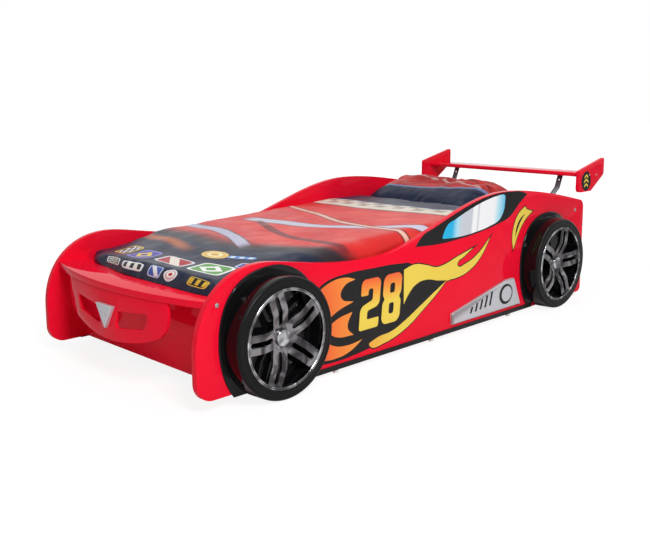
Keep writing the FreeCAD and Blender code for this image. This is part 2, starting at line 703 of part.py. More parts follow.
def rim(wheel_x, first_angle):
    """Bright rim: outer ring, double spokes and hub, in one casting."""
    seat = WHEEL_DEPTH - RIM_SEAT_DEPTH
    front = WHEEL_DEPTH + RIM_PROUD
    ring = turned([
        (RIM_RADIUS, seat),
        (BEAD_RADIUS - HOLE_ROOM, seat),
        (BEAD_RADIUS - HOLE_ROOM, front),
        (RIM_RADIUS, front),
    ])
    ring = ring.makeFillet(RIM_EDGE, rings_at(ring, RIM_RADIUS, front)
                           + rings_at(ring, BEAD_RADIUS - HOLE_ROOM, front))
    face = WHEEL_DEPTH - SPOKE_HUB_DROP
    hub = turned([
        (0, DISH_FLOOR),
        (HUB_FOOT_RADIUS, DISH_FLOOR),
        (HUB_RADIUS, face - SPOKE_THICKNESS),
        (HUB_RADIUS, face),
        (0, face),
    ])
    casting = ring.fuse(hub)
    for number in range(SPOKE_COUNT):
        pair = spoke_pair()
        pair.rotate(Vector(0, 0, 0), Vector(0, 0, 1), first_angle + 360.0 * number / SPOKE_COUNT)
        casting = casting.fuse(pair)
    return on_left_panel(casting.removeSplitter(), wheel_x)


def hub_cap(wheel_x):
    """Low domed cap on the middle of the hub."""
    low = WHEEL_DEPTH - SPOKE_HUB_DROP
    top = low + HUB_CAP_HEIGHT
    cap = turned([(0, low), (HUB_CAP_RADIUS, low), (HUB_CAP_RADIUS, top), (0, top)])
    cap = cap.makeFillet(HUB_CAP_ROUND, rings_at(cap, HUB_CAP_RADIUS, top))
    return on_left_panel(cap, wheel_x)


# ---------------------------------------------------------------- trim

def skirt_strip():
    """Black edging along the foot of the left panel, from tyre to tyre under the arches' feet."""
    rise = WHEEL_RADIUS - FLOOR_GAP - SKIRT_HEIGHT
    reach = math.sqrt(WHEEL_RADIUS ** 2 - rise ** 2) + SKIRT_GAP
    length = (FRONT_WHEEL_X + reach, REAR_WHEEL_X - reach)
    depth = (-OUTER_Y - SKIRT_THICKNESS, -OUTER_Y)
    return box(length, depth, (FLOOR_GAP, FLOOR_GAP + SKIRT_HEIGHT))


def sill_plate():
    """Bevelled grey plate low on the left panel, ahead of the rear wheel."""
    front = SILL_PLATE_FRONT_X
    rear = front + SILL_PLATE_LENGTH
    points = [
        Vector(front, 0, SILL_PLATE_BOTTOM),
        Vector(rear, 0, SILL_PLATE_BOTTOM),
        Vector(front + SILL_PLATE_TOP_REAR, 0, SILL_PLATE_TOP),
        Vector(front + SILL_PLATE_TOP_FRONT, 0, SILL_PLATE_TOP),
        Vector(front, 0, SILL_PLATE_NOSE_HIGH),
    ]
    face = rounded_face(points, [SILL_PLATE_CORNER] * len(points))
    face.translate(Vector(0, -OUTER_Y, 0))
    plate = face.extrude(Vector(0, -SILL_PLATE_THICKNESS, 0))
    return plate.makeChamfer(SILL_PLATE_BEVEL, edges_at(plate, "Y", -OUTER_Y - SILL_PLATE_THICKNESS))


def glide(x):
    """White nylon floor glide under the left panel."""
    middle = -OUTER_Y + BOARD / 2
    foot = rod(Vector(x, middle, 0), Vector(0, 0, 1), GLIDE_RADIUS, FLOOR_GAP)
    return foot.makeChamfer(GLIDE_EDGE, edges_at(foot, "Z", 0))


# ---------------------------------------------------------------- wing

def wing_directions():
    """Unit vectors along the wing's chord and up from its top."""
    tilt = math.radians(WING_TILT)
    return Vector(math.cos(tilt), 0, -math.sin(tilt)), Vector(math.sin(tilt), 0, math.cos(tilt))


def wing_underside_start():
    """Front end of the wing's underside."""
    upright = wing_directions()[1]
    return Vector(WING_FRONT_X, 0, WING_TOP) - upright * WING_THICKNESS


def wing():
    """Wing board between the end plates, leaning back a little, with round long edges."""
    chord, upright = wing_directions()
    start = wing_underside_start() + Vector(0, -WING_END_Y, 0)
    points = [start, start + chord * WING_CHORD]
    points += [points[1] + upright * WING_THICKNESS, start + upright * WING_THICKNESS]
    board = rounded_face(points, [WING_EDGE] * len(points)).extrude(Vector(0, 2 * WING_END_Y, 0))
    left = strut_top_screws(screw_hole) + end_plate_screws(screw_hole)
    return board.cut(Part.makeCompound(left + [mirrored(hole) for hole in left]))


def end_plate():
    """Left end plate of the wing, a swept-back quadrilateral with a slanted foot."""
    points = [
        Vector(PLATE_FRONT_X, -OUTER_Y, PLATE_BOTTOM),
        Vector(PLATE_FOOT_X, -OUTER_Y, PLATE_BOTTOM),
        Vector(PLATE_REAR_X, -OUTER_Y, PLATE_REAR_LOW),
        Vector(PLATE_REAR_X, -OUTER_Y, PLATE_REAR_TOP),
        Vector(PLATE_FRONT_X, -OUTER_Y, PLATE_FRONT_TOP),
    ]
    radii = [PLATE_FRONT_CORNER, PLATE_CORNER, PLATE_CORNER, PLATE_TOP_CORNER, PLATE_TOP_CORNER]
    plate = rounded_face(points, radii).extrude(Vector(0, PLATE_THICKNESS, 0))
    return plate.cut(Part.makeCompound(end_plate_screws(screw_hole)))


def strut():
    """Left strut: one bent steel strip from the headboard's back to the wing's underside."""
    chord = wing_directions()[0]
    underside = wing_underside_start()
    line = [
        Vector(HEADBOARD_REAR, 0, STRUT_FOOT),
        Vector(HEADBOARD_REAR, 0, STRUT_BEND),
        Vector(STRUT_KINK_X, 0, STRUT_KINK_HEIGHT),
        underside + chord * STRUT_TOP_START,
        underside + chord * (STRUT_TOP_START + STRUT_TOP_LENGTH),
    ]
    runs = [(line[number + 1] - line[number]).normalize() for number in range(len(line) - 1)]
    sides = [Vector(run.z, 0, -run.x) for run in runs]
    other = [line[0] + sides[0] * STRUT_THICKNESS]
    for number in range(1, len(runs)):
        mitre = (sides[number - 1] + sides[number]).normalize()
        other.append(line[number] + mitre * (STRUT_THICKNESS / mitre.dot(sides[number])))
    other.append(line[-1] + sides[-1] * STRUT_THICKNESS)
    strip = polygon(line + list(reversed(other)))
    strip.translate(Vector(0, -STRUT_Y - STRUT_WIDTH / 2, 0))
    strip = strip.extrude(Vector(0, STRUT_WIDTH, 0))
    holes = strut_foot_screws(screw_hole) + strut_top_screws(screw_hole)
    hole_start = line[2] + Vector(-STRUT_WIDTH, -STRUT_Y, STRUT_HOLE_RISE)
    holes.append(rod(hole_start, Vector(1, 0, 0), STRUT_HOLE_RADIUS, STRUT_WIDTH * 2))
    return strip.cut(Part.makeCompound(holes))


# ---------------------------------------------------------------- slat base and bedding

def bearer_rail():
    """Left rail that carries the slats' ends."""
    length = (FOOT_BOARD_REAR + RAIL_END_ROOM, HEADBOARD_X - RAIL_END_ROOM)
    rail = box(length, (-INNER_Y, -INNER_Y + RAIL_WIDTH), (SLAT_UNDERSIDE - RAIL_HEIGHT, SLAT_UNDERSIDE))
    return rail.cut(Part.makeCompound(rail_screws(screw_hole)))


def slat(number):
    """One slat of the loose base, counted from the foot."""
    first = FOOT_BOARD_REAR + SLAT_END_MARGIN
    last = HEADBOARD_X - SLAT_END_MARGIN - SLAT_WIDTH
    start = first + (last - first) * number / (SLAT_COUNT - 1)
    half = INNER_Y - SLAT_END_ROOM
    board = box((start, start + SLAT_WIDTH), (-half, half), (SLAT_UNDERSIDE, SLAT_TOP))
    return board.makeFillet(SLAT_EDGE, edges_along(board, Vector(0, 1, 0)))


def webbing():
    """Left webbing stapled under the slats to keep their spacing."""
    margin = SLAT_END_MARGIN + SLAT_WIDTH / 3
    length = (FOOT_BOARD_REAR + margin, HEADBOARD_X - margin)
    width = (-WEBBING_Y - WEBBING_WIDTH, -WEBBING_Y)
    return box(length, width, (SLAT_UNDERSIDE - WEBBING_THICKNESS, SLAT_UNDERSIDE))


def mattress_blank(room):
    """Space of the mattress, grown by room on every side but its underside."""
    half = MATTRESS_WIDTH / 2 + room
    length = (MATTRESS_FOOT_X - room, MATTRESS_HEAD_X + room)
    return box(length, (-half, half), (SLAT_TOP, MATTRESS_TOP + room))


def mattress():
    """Foam mattress with round corners and edges."""
    block = mattress_blank(0)
    block = block.makeFillet(MATTRESS_CORNER, edges_along(block, Vector(0, 0, 1)))
    rims = edges_at(block, "Z", MATTRESS_TOP) + edges_at(block, "Z", SLAT_TOP)
    return block.makeFillet(MATTRESS_EDGE, rims)


def rounding(distance, reach):
    """Share of full size that a soft edge has at a distance from its end: a quarter round."""
    return math.sqrt(1 - (1 - min(distance / reach, 1)) ** 2)


def duvet_section(x):
    """Duvet cut across at x: flat below, round sides, a crowned top."""
    from_foot = x - DUVET_FOOT_X
    lip = DUVET_LIP * rounding(from_foot, DUVET_LIP_REACH)
    swell = DUVET_SWELL * (1 - math.exp(-from_foot / DUVET_SWELL_REACH))
    head = rounding(DUVET_HEAD_X - x, DUVET_LIP_REACH)
    low = SHELF_HEIGHT + SOFT_GAP
    crown = low + DUVET_HEM + lip + swell * (1 + head) / 2
    side = low + (crown - low) - DUVET_CROWN * rounding(from_foot, DUVET_CORNER) ** 2
    corner = DUVET_CORNER * (1 - rounding(from_foot, DUVET_CORNER))
    half = INNER_Y - DUVET_SIDE_ROOM - corner
    tuck = (side - low) * DUVET_TUCK
    middle = (low + side) / 2
    near_low = Vector(x, tuck - half, low)
    near_high = Vector(x, tuck - half, side)
    far_low = Vector(x, half - tuck, low)
    far_high = Vector(x, half - tuck, side)
    return Part.Wire([
        Part.makeLine(near_low, far_low),
        Part.Arc(far_low, Vector(x, half, middle), far_high).toShape(),
        Part.Arc(far_high, Vector(x, 0, crown + DUVET_CREST), near_high).toShape(),
        Part.Arc(near_high, Vector(x, -half, middle), near_low).toShape(),
    ])


def duvet():
    """Duvet over the mattress; its foot hangs over the end of it and rests on the bonnet shelf."""
    turns = [math.cos(math.pi / 2 * step / SOFT_STEPS) for step in range(SOFT_STEPS + 1)]
    foot = [DUVET_FOOT_X + DUVET_CORNER * (1 - turn) for turn in turns]
    head = [DUVET_HEAD_X - DUVET_LIP_REACH * (1 - turn) for turn in reversed(turns)]
    step = (head[0] - foot[-1]) / SOFT_STEPS
    middle = [foot[-1] + step * number for number in range(1, SOFT_STEPS)]
    sections = [duvet_section(x) for x in foot + middle + head]
    return Part.makeLoft(sections, True, True).cut(mattress_blank(SOFT_GAP))


def pillow_section(share):
    """Pillow cut lengthwise at a share of its half width: thin front edge, crown, high back."""
    y = INNER_Y - PILLOW_SIDE_GAP - PILLOW_WIDTH / 2 * (1 - share)
    low = MATTRESS_TOP + SOFT_GAP
    height = PILLOW_HEIGHT * math.sqrt(1 - share ** 6)
    inset = PILLOW_LENGTH * PILLOW_PINCH / 2 * share ** 8
    front = PILLOW_FRONT_X + inset
    rear = PILLOW_FRONT_X + PILLOW_LENGTH - inset
    lip = height * PILLOW_LIP
    back = height * PILLOW_BACK
    front_low = Vector(front + lip * PILLOW_FRONT_LEAN, y, low)
    front_high = front_low + Vector(0, 0, lip)
    rear_low = Vector(rear - back * PILLOW_BACK_LEAN, y, low)
    rear_high = rear_low + Vector(0, 0, back)
    crown = Vector(front + (rear - front) * PILLOW_CROWN_PLACE, y, low + height)
    return Part.Wire([
        Part.makeLine(front_low, rear_low),
        Part.Arc(rear_low, Vector(rear, y, low + back / 2), rear_high).toShape(),
        Part.Arc(rear_high, crown, front_high).toShape(),
        Part.Arc(front_high, Vector(front, y, low + lip / 2), front_low).toShape(),
    ])


def pillow():
    """Plump pillow that leans up towards the headboard, its corners drawn in."""
    steps = range(-SOFT_STEPS, SOFT_STEPS + 1)
    angles = [PILLOW_END_ANGLE * step / SOFT_STEPS for step in steps]
    return Part.makeLoft([pillow_section(math.sin(math.radians(angle))) for angle in angles], True, True)


# ---------------------------------------------------------------- all the pieces

def add_pair(pieces, name, left):
    """Store a left piece and its mirror image under their own names."""
    pieces[name + "_left"] = [left]
    pieces[name + "_right"] = [mirrored(left)]


def add_group(pieces, name, left):
    """Store like fixings of both sides as one group."""
    pieces[name] = left + [mirrored(piece) for piece in left]


def add_wheels(pieces, end, wheel_x, angle):
    """Store the moulding, rim and hub cap of both wheels at one end of the car."""
    add_pair(pieces, "wheel_" + end, tyre_moulding(wheel_x))
    add_pair(pieces, "rim_" + end, rim(wheel_x, angle))
    add_pair(pieces, "hub_cap_" + end, hub_cap(wheel_x))


def build():
    """Every piece by name, each as a list of solids."""
    pieces = {}
    add_pair(pieces, "side_panel", side_panel())
    pieces["foot_board"] = [foot_board()]
    pieces["headboard"] = [headboard()]
    pieces["bonnet_shelf"] = [bonnet_shelf()]
    pieces["bumper"] = [bumper()]
    add_group(pieces, "bumper_blocks", [bumper_block()])
    pieces["badge_plate"] = [badge()]
    add_wheels(pieces, "front", FRONT_WHEEL_X, FRONT_SPOKE_ANGLE)
    add_wheels(pieces, "rear", REAR_WHEEL_X, REAR_SPOKE_ANGLE)
    add_pair(pieces, "skirt_strip", skirt_strip())
    add_pair(pieces, "sill_plate", sill_plate())
    add_group(pieces, "floor_glides", [glide(x) for x in GLIDE_X])
    pieces["wing"] = [wing()]
    add_pair(pieces, "end_plate", end_plate())
    add_pair(pieces, "wing_strut", strut())
    add_pair(pieces, "bearer_rail", bearer_rail())
    for number in range(SLAT_COUNT):
        pieces["slat_%02d" % (number + 1)] = [slat(number)]
    add_pair(pieces, "slat_webbing", webbing())
    pieces["mattress"] = [mattress()]
    pieces["duvet"] = [duvet()]
    pieces["pillow"] = [pillow()]
    add_group(pieces, "panel_bolts", [panel_bolt(x, z) for x, z, mouth in bolt_places()])
    add_group(pieces, "barrel_nuts", [barrel_nut(x, z, mouth) for x, z, mouth in bolt_places()])
    add_group(pieces, "rail_screws", rail_screws(screw))
    wheel_fixings = wheel_screws(screw, FRONT_WHEEL_X) + wheel_screws(screw, REAR_WHEEL_X)
    add_group(pieces, "wheel_screws", wheel_fixings)
    add_group(pieces, "strut_screws", strut_foot_screws(screw) + strut_top_screws(screw))
    add_group(pieces, "end_plate_screws", end_plate_screws(screw))
    return pieces


def main():
    """Centre the model over its origin and write each piece."""
    pieces = build()
    whole = Part.makeCompound([solid for solids in pieces.values() for solid in solids])
    middle = (whole.BoundBox.XMin + whole.BoundBox.XMax) / 2
    os.makedirs("parts", exist_ok=True)
    for name, solids in pieces.items():
        shape = solids[0] if len(solids) == 1 else Part.makeCompound(solids)
        shape.translate(Vector(-middle, 0, 0))
        shape.exportStep("parts/" + name + ".step")


main()
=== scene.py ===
"""Looks of a child's race car bed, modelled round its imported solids.

The file is laid out as a Blender add-on and run as a script.  Each operator models one piece, or a
group of like pieces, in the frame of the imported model: metres, X to the headboard, Z up, and the
car's left side at -Y.  Places on the bed are written in millimetres behind the tip of the nose.
"""

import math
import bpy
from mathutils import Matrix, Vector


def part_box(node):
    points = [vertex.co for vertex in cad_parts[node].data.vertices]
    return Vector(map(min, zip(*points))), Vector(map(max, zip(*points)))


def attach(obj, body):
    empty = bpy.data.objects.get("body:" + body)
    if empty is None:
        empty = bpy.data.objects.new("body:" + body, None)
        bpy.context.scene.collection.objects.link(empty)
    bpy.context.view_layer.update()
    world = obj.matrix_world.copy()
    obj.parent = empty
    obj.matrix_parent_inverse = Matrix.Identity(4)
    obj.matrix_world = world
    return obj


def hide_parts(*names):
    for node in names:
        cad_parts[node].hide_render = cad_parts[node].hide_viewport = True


bl_info = {
    "name": "Race Car Bed",
    "version": (1, 0, 0),
    "blender": (4, 5, 0),
    "location": "View3D > Sidebar > Race Car Bed",
    "description": "Models the looks of a child's race car bed round its packed solids",
    "category": "Object",
}

import bpy
from mathutils import Matrix, Vector, noise

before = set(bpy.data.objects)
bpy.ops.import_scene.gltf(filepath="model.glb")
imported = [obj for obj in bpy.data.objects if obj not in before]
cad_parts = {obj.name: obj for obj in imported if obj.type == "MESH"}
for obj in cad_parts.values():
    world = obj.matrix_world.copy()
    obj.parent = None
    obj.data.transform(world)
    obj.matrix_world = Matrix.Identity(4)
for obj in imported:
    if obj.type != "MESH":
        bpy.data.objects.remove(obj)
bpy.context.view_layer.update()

MM = 0.001
NOSE_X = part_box("side_panel_left")[0].x
SIDE_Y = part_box("side_panel_left")[0].y
MATTRESS_LOW, MATTRESS_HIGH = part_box("mattress")
PILLOW_LOW, PILLOW_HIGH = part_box("pillow")
SHELF_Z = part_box("bonnet_shelf")[1].z
SIDES = (("left", 1), ("right", -1))
WHITE = (1, 1, 1, 1)
BLACK = (0, 0, 0, 1)


# ---------------------------------------------------------------- sizes and colours

def linear(code):
    """Linear colour with full alpha from an sRGB hex code."""
    parts = [int(code[place:place + 2], 16) / 255 for place in (1, 3, 5)]
    return tuple([p / 12.92 if p <= 0.04045 else ((p + 0.055) / 1.055) ** 2.4 for p in parts] + [1.0])


def colour(name, description, code):
    """Colour property whose default is written as an sRGB hex code."""
    return bpy.props.FloatVectorProperty(name=name, description=description, default=linear(code),
                                         size=4, min=0, max=1, subtype="COLOR")


def length(name, description, millimetres):
    """Length property whose default is written in millimetres."""
    return bpy.props.FloatProperty(name=name, description=description, default=millimetres * MM,
                                   min=0, unit="LENGTH", subtype="DISTANCE")


class BedSizes(bpy.types.PropertyGroup):
    """Sizes that a user would change."""
    board_edge: length("Board edge", "Radius that the lacquered boards' edges are eased to", 1.6)
    trim_edge: length("Trim edge", "Radius of the plastic and metal trim's edges", 0.9)
    timber_edge: length("Timber edge", "Radius of the slats' and rails' edges", 1.2)
    film_lift: length("Film lift", "Height of the printed film above its panel", 0.25)
    keyline: length("Keyline", "Width of the black line round each flame", 4.5)
    number_height: length("Number height", "Height of the race number on the sides", 186)
    tyre_shoulder: length("Tyre shoulder", "Radius of the tyre's outer shoulder", 10)
    piping: length("Piping", "Thickness of the mattress's piping", 5)
    duvet_swell: length("Duvet swell", "Most that the duvet's cloth may move as it fills", 5)
    pillow_swell: length("Pillow swell", "Most that the pillow's cloth may move as it fills", 9)


class BedColours(bpy.types.PropertyGroup):
    """Colours that a user would change."""
    lacquer: colour("Lacquer", "Red of the lacquered boards", "#EE1230")
    black: colour("Black", "Black of the moulded wheels and the printed film", "#161618")
    flame_root: colour("Flame root", "Flames next to the front wheel", "#EF5A33")
    flame_middle: colour("Flame middle", "Flames half way along", "#F2953B")
    flame_tip: colour("Flame tip", "Flames at their tips", "#EBCF50")
    window_blue: colour("Window blue", "Blue at the ends of the printed windows", "#25B4E4")
    window_white: colour("Window white", "Middle of the printed windows", "#F3F5F7")
    chrome: colour("Chrome", "Plating of the rims", "#CDCFD2")
    silver: colour("Silver", "Paint of the sill plates and the badge", "#C6C8CE")
    navy: colour("Navy", "Dark blue of the bedding", "#171E36")
    bedding_red: colour("Bedding red", "Red of the bedding", "#D42A29")
    cream: colour("Cream", "Cream of the bedding", "#DFD6C8")
    timber: colour("Timber", "Pine of the slats and rails", "#D9B98A")
    ticking: colour("Ticking", "Mattress cover", "#EFEEEA")


def sizes():
    """Sizes as the user has set them."""
    return bpy.context.scene.bed_sizes


def tone(name):
    """Colour as the user has set it, by its name in BedColours."""
    return tuple(getattr(bpy.context.scene.bed_colours, name))


# ---------------------------------------------------------------- materials

def add(tree, kind, *values, stops=(), inputs=None, **settings):
    """Add a shader node: settings by name, inputs by place or name, each a value, a socket or a node."""
    made = tree.nodes.new("ShaderNode" + kind)
    for name, value in settings.items():
        setattr(made, name, value)
    for number, (place, shade) in enumerate(stops):
        ramp = made.color_ramp.elements
        stop = ramp[number] if number < len(ramp) else ramp.new(place)
        stop.position = place
        stop.color = shade
    for name, value in list(enumerate(values)) + list((inputs or {}).items()):
        if isinstance(value, bpy.types.Node):
            value = value.outputs[0]
        if isinstance(value, bpy.types.NodeSocket):
            tree.links.new(value, made.inputs[name])
        elif value is not None:
            made.inputs[name].default_value = value
    return made


def finish_of(name, build, **values):
    """Material by name, made once: constant values sit on the shader, and build returns the nodes
    that feed its other sockets."""
    found = bpy.data.materials.get(name)
    if found:
        return found
    made = bpy.data.materials.new(name)
    made.use_nodes = True
    tree = made.node_tree
    shader = tree.nodes["Principled BSDF"]
    for socket, value in values.items():
        shader.inputs[socket.replace("_", " ")].default_value = value
    place = add(tree, "TexCoord").outputs["Object"]
    for socket, node in build(tree, place).items():
        tree.links.new(node.outputs[0], shader.inputs[socket])
    return made


def per(width):
    """Texture scale whose grains or patches are width millimetres across."""
    return 1 / (width * MM)


def grained(tree, place, width, strength, depth, detail=4.0, stretch=(1, 1, 1)):
    """Bump from a noise whose grains are width millimetres across and depth millimetres deep."""
    spread = add(tree, "Mapping", inputs={"Vector": place, "Scale": stretch})
    grain = add(tree, "TexNoise", inputs={"Vector": spread, "Scale": per(width), "Detail": detail})
    return add(tree, "Bump", inputs={"Strength": strength, "Distance": depth * MM, "Height": grain})


def varied(tree, place, shade, width, amount):
    """Colour that drifts a little darker and lighter over patches width millimetres across."""
    drift = add(tree, "TexNoise", inputs={"Vector": place, "Scale": per(width), "Detail": 3.0})
    dark, light = [tuple([min(1, part * share) for part in shade[:3]] + [1])
                   for share in (1 - amount, 1 + amount)]
    return add(tree, "ValToRGB", drift, stops=[(0.3, dark), (0.7, light)])


def uneven(tree, place, width, low, high):
    """Roughness from low to high over patches width millimetres across."""
    drift = add(tree, "TexNoise", inputs={"Vector": place, "Scale": per(width), "Detail": 5.0})
    return add(tree, "MapRange", drift, 0.3, 0.7, low, high)


def plain(name, shade, drift, grain, gloss, **values):
    """Material of one colour: drift, grain and gloss hold what varied, grained and uneven are told."""
    def build(tree, place):
        return {"Base Color": varied(tree, place, shade, *drift), "Normal": grained(tree, place, **grain),
                "Roughness": uneven(tree, place, *gloss)}
    return finish_of(name, build, **values)


def lacquer():
    """Polyurethane lacquer, sprayed on fibreboard and polished: deep, wet red with the faint
    orange peel of spraying, about 3 mm from crest to crest."""
    return plain("red_polyurethane_lacquer", tone("lacquer"), drift=(455, 0.04),
                 grain={"width": 3.125, "strength": 0.02, "depth": 0.3, "detail": 1.0},
                 gloss=(111, 0.03, 0.07), IOR=1.5, Specular_IOR_Level=0.07)


def black_gloss():
    """Moulded ABS, polished in the mould: near black, sharp reflections, faint ripple."""
    return plain("polished_black_abs", linear("#0D0D0F"), drift=(200, 0.12),
                 grain={"width": 83.3, "strength": 0.05, "depth": 2.0, "detail": 1.0},
                 gloss=(71, 0.03, 0.08), IOR=1.53, Specular_IOR_Level=0.2)


def tyre_wall():
    """Moulded ABS with a fine spark-eroded texture, 1 mm grains: a satin tyre wall."""
    return plain("textured_black_abs", linear("#09090B"), drift=(125, 0.18),
                 grain={"width": 1.1, "strength": 0.12, "depth": 0.2}, gloss=(40, 0.30, 0.44),
                 IOR=1.53, Specular_IOR_Level=0.14)


def plated(name, dull, middle, bright):
    """Plating over a moulding, its colour a painted reflection: broad drifts from dull to bright stand in
    for the surroundings that it mirrors, with a little waviness and fine haze.
    """
    def build(tree, place):
        drift = add(tree, "TexNoise",
                    inputs={"Vector": place, "Scale": per(62.5), "Detail": 1.5, "Distortion": 1.2})
        shade = add(tree, "ValToRGB", drift, stops=[(0.38, dull), (0.5, middle), (0.62, bright)])
        return {"Base Color": shade, "Normal": grained(tree, place, 22.2, 0.12, 1.2, 1.0),
                "Roughness": uneven(tree, place, 33.3, 0.04, 0.10)}
    return finish_of(name, build, Metallic=1.0)


def chrome():
    """Chrome plated ABS: a bright mirror, darker here and there by a painted reflection of dark
    surroundings.
    """
    return plated("chrome_plated_abs", linear("#5E5E61"), linear("#88888B"), tone("chrome"))


def dark_reflection_chrome():
    """The same plating with a darker painted reflection, for the flat outer stretches of the spokes."""
    return plated("smoked_chrome_plated_abs", linear("#3E3C3F"), linear("#646164"), linear("#8E8C90"))


def silver_paint():
    """Silver acrylic paint with fine flake on moulded plastic: soft metallic grey."""
    return plain("silver_flake_paint", tone("silver"), drift=(1.1, 0.06),
                 grain={"width": 1.4, "strength": 0.05, "depth": 0.2}, gloss=(55.5, 0.26, 0.36),
                 Metallic=0.3, IOR=1.5)


def black_plastic():
    """Extruded PVC edging: plain black, dull sheen, drawn along its length."""
    return plain("extruded_black_pvc", tone("black"), drift=(50, 0.15),
                 grain={"width": 3.3, "strength": 0.10, "depth": 0.3, "stretch": (0.05, 1, 1)},
                 gloss=(33.3, 0.38, 0.5), IOR=1.53, Specular_IOR_Level=0.2)


def nylon():
    """Turned white nylon: dull, with faint turning marks 1 mm apart."""
    return plain("turned_white_nylon", linear("#E9E9E4"), drift=(17, 0.04),
                 grain={"width": 1.0, "strength": 0.1, "depth": 0.2, "stretch": (0.1, 0.1, 1)},
                 gloss=(17, 0.42, 0.55), IOR=1.53)


def red_caps():
    """Zinc plated screws whose heads are enamelled to match the panels, slightly orange-peeled."""
    return plain("enamelled_screw_heads", tone("lacquer"), drift=(17, 0.06),
                 grain={"width": 1.1, "strength": 0.1, "depth": 0.2}, gloss=(17, 0.2, 0.3),
                 IOR=1.5, Specular_IOR_Level=0.2)


def dark_steel():
    """Flat steel strip, bent and powder coated dark grey, 0.8 mm grains."""
    return plain("powder_coated_steel", linear("#5A5D61"), drift=(33, 0.12),
                 grain={"width": 0.8, "strength": 0.15, "depth": 0.2}, gloss=(25, 0.3, 0.42), Metallic=0.6)


def zinc():
    """Zinc plated steel, tumbled: pale grey with a faint mottle and fine scratches."""
    return plain("zinc_plated_steel", linear("#B9BBBC"), drift=(4.5, 0.14),
                 grain={"width": 0.7, "strength": 0.1, "depth": 0.1, "stretch": (1, 1, 0.1)},
                 gloss=(3.3, 0.25, 0.42), Metallic=1.0)


def pine(name, along):
    """Planed pine: early and late wood as lines 6 to 12 mm apart, drawn out along the board."""
    def build(tree, place):
        stretch = [1.0, 1.0, 1.0]
        stretch[along] = 0.06
        spread = add(tree, "Mapping", inputs={"Vector": place, "Scale": stretch})
        rings = add(tree, "TexNoise",
                    inputs={"Vector": spread, "Scale": per(14.3), "Detail": 6.0, "Distortion": 1.4})
        early = tone("timber")
        late = (early[0] * 0.62, early[1] * 0.5, early[2] * 0.36, 1)
        lines = add(tree, "Bump", inputs={"Strength": 0.2, "Distance": 0.4 * MM, "Height": rings})
        return {"Base Color": add(tree, "ValToRGB", rings, stops=[(0.32, late), (0.52, early)]),
                "Normal": lines, "Roughness": uneven(tree, place, 25, 0.5, 0.62)}
    return finish_of(name, build, IOR=1.5)


# A wave texture at scale 1 repeats its bands after this many metres, and diagonal ones after twice that.
WAVE_PITCH = math.pi / 10


def tape():
    """Woven polyester tape: ribs across it every 6 mm, drawn coarser than life so that they show."""
    def build(tree, place):
        ribs = add(tree, "TexWave", place, WAVE_PITCH / (6.04 * MM), bands_direction="X")
        return {"Base Color": varied(tree, place, linear("#8E8675"), 8.3, 0.2),
                "Normal": add(tree, "Bump", inputs={"Strength": 0.5, "Distance": 0.6 * MM, "Height": ribs})}
    return finish_of("woven_polyester_tape", build, Roughness=0.8, Sheen_Weight=0.2)


def laminated(name, printed, low=0.10, high=0.18):
    """Vinyl film, printed and laminated: its print under the gloss of a clear layer, which lies on
    the board with a ripple of about 4 mm."""
    def build(tree, place):
        return {"Base Color": printed(tree, place), "Normal": grained(tree, place, 3.85, 0.03, 0.3, 1.0),
                "Roughness": uneven(tree, place, 83.3, low, high)}
    return finish_of("laminated_%s_film" % name, build, IOR=1.5, Specular_IOR_Level=0.16)


def black_film():
    """The film printed plain black."""
    return laminated("black", lambda tree, place: varied(tree, place, linear("#19191B"), 167, 0.12))


def yellow_film():
    """The film printed plain yellow."""
    return laminated("yellow", lambda tree, place: varied(tree, place, tone("flame_tip"), 33.3, 0.06))


def flame_film():
    """The film printed from orange red at the wheel to yellow at the tips, over FLAME_FADE."""
    def printed(tree, place):
        spot = add(tree, "SeparateXYZ", place)
        drift = add(tree, "TexNoise", inputs={"Vector": place, "Scale": per(250)})
        along = add(tree, "MapRange", spot.outputs["X"], *[NOSE_X + x * MM for x in FLAME_FADE])
        mixed = add(tree, "Math", drift, 0.22, along, operation="MULTIPLY_ADD")
        return add(tree, "ValToRGB", mixed, stops=[(0.1, tone("flame_root")), (0.42, tone("flame_middle")),
                                                   (0.8, tone("flame_tip"))])
    return laminated("flame", printed)


def number_film():
    """The film for the race number: orange red above, yellow below, over NUMBER_FADE."""
    def printed(tree, place):
        spot = add(tree, "SeparateXYZ", place)
        up = add(tree, "MapRange", spot.outputs["Z"], *[z * MM for z in NUMBER_FADE])
        return add(tree, "ValToRGB", up, stops=[(0.45, tone("flame_tip")), (0.75, tone("flame_middle")),
                                                (1.0, tone("flame_root"))])
    return laminated("number", printed)


def window_film():
    """The film printed as a car's window: blue ends, pale middle with leaning grey glints."""
    def printed(tree, place):
        turned = add(tree, "Mapping", inputs={"Vector": place, "Rotation": (0, math.radians(-7), 0)})
        spot = add(tree, "SeparateXYZ", turned)
        across = add(tree, "MapRange", spot.outputs["X"], *[NOSE_X + x * MM for x in WINDOW_FADE])
        blue, white, grey = tone("window_blue"), tone("window_white"), linear("#C9CDD6")
        return add(tree, "ValToRGB", across,
                   stops=[(0.02, blue), (0.10, linear("#A9DDF0")), (0.18, grey), (0.33, grey),
                          (0.36, white), (0.42, white), (0.44, grey), (0.47, white), (0.72, white),
                          (0.78, linear("#BFE6F3")), (0.93, blue)])
    return laminated("window", printed, 0.08, 0.16)


# ---------------------------------------------------------------- making pieces

def deselect():
    """Leave edit mode and select nothing."""
    if bpy.context.object and bpy.context.object.mode != "OBJECT":
        bpy.ops.object.mode_set(mode="OBJECT")
    bpy.ops.object.select_all(action="DESELECT")


def only(piece):
    """Make a piece the one selected object."""
    deselect()
    piece.select_set(True)
    bpy.context.view_layer.objects.active = piece


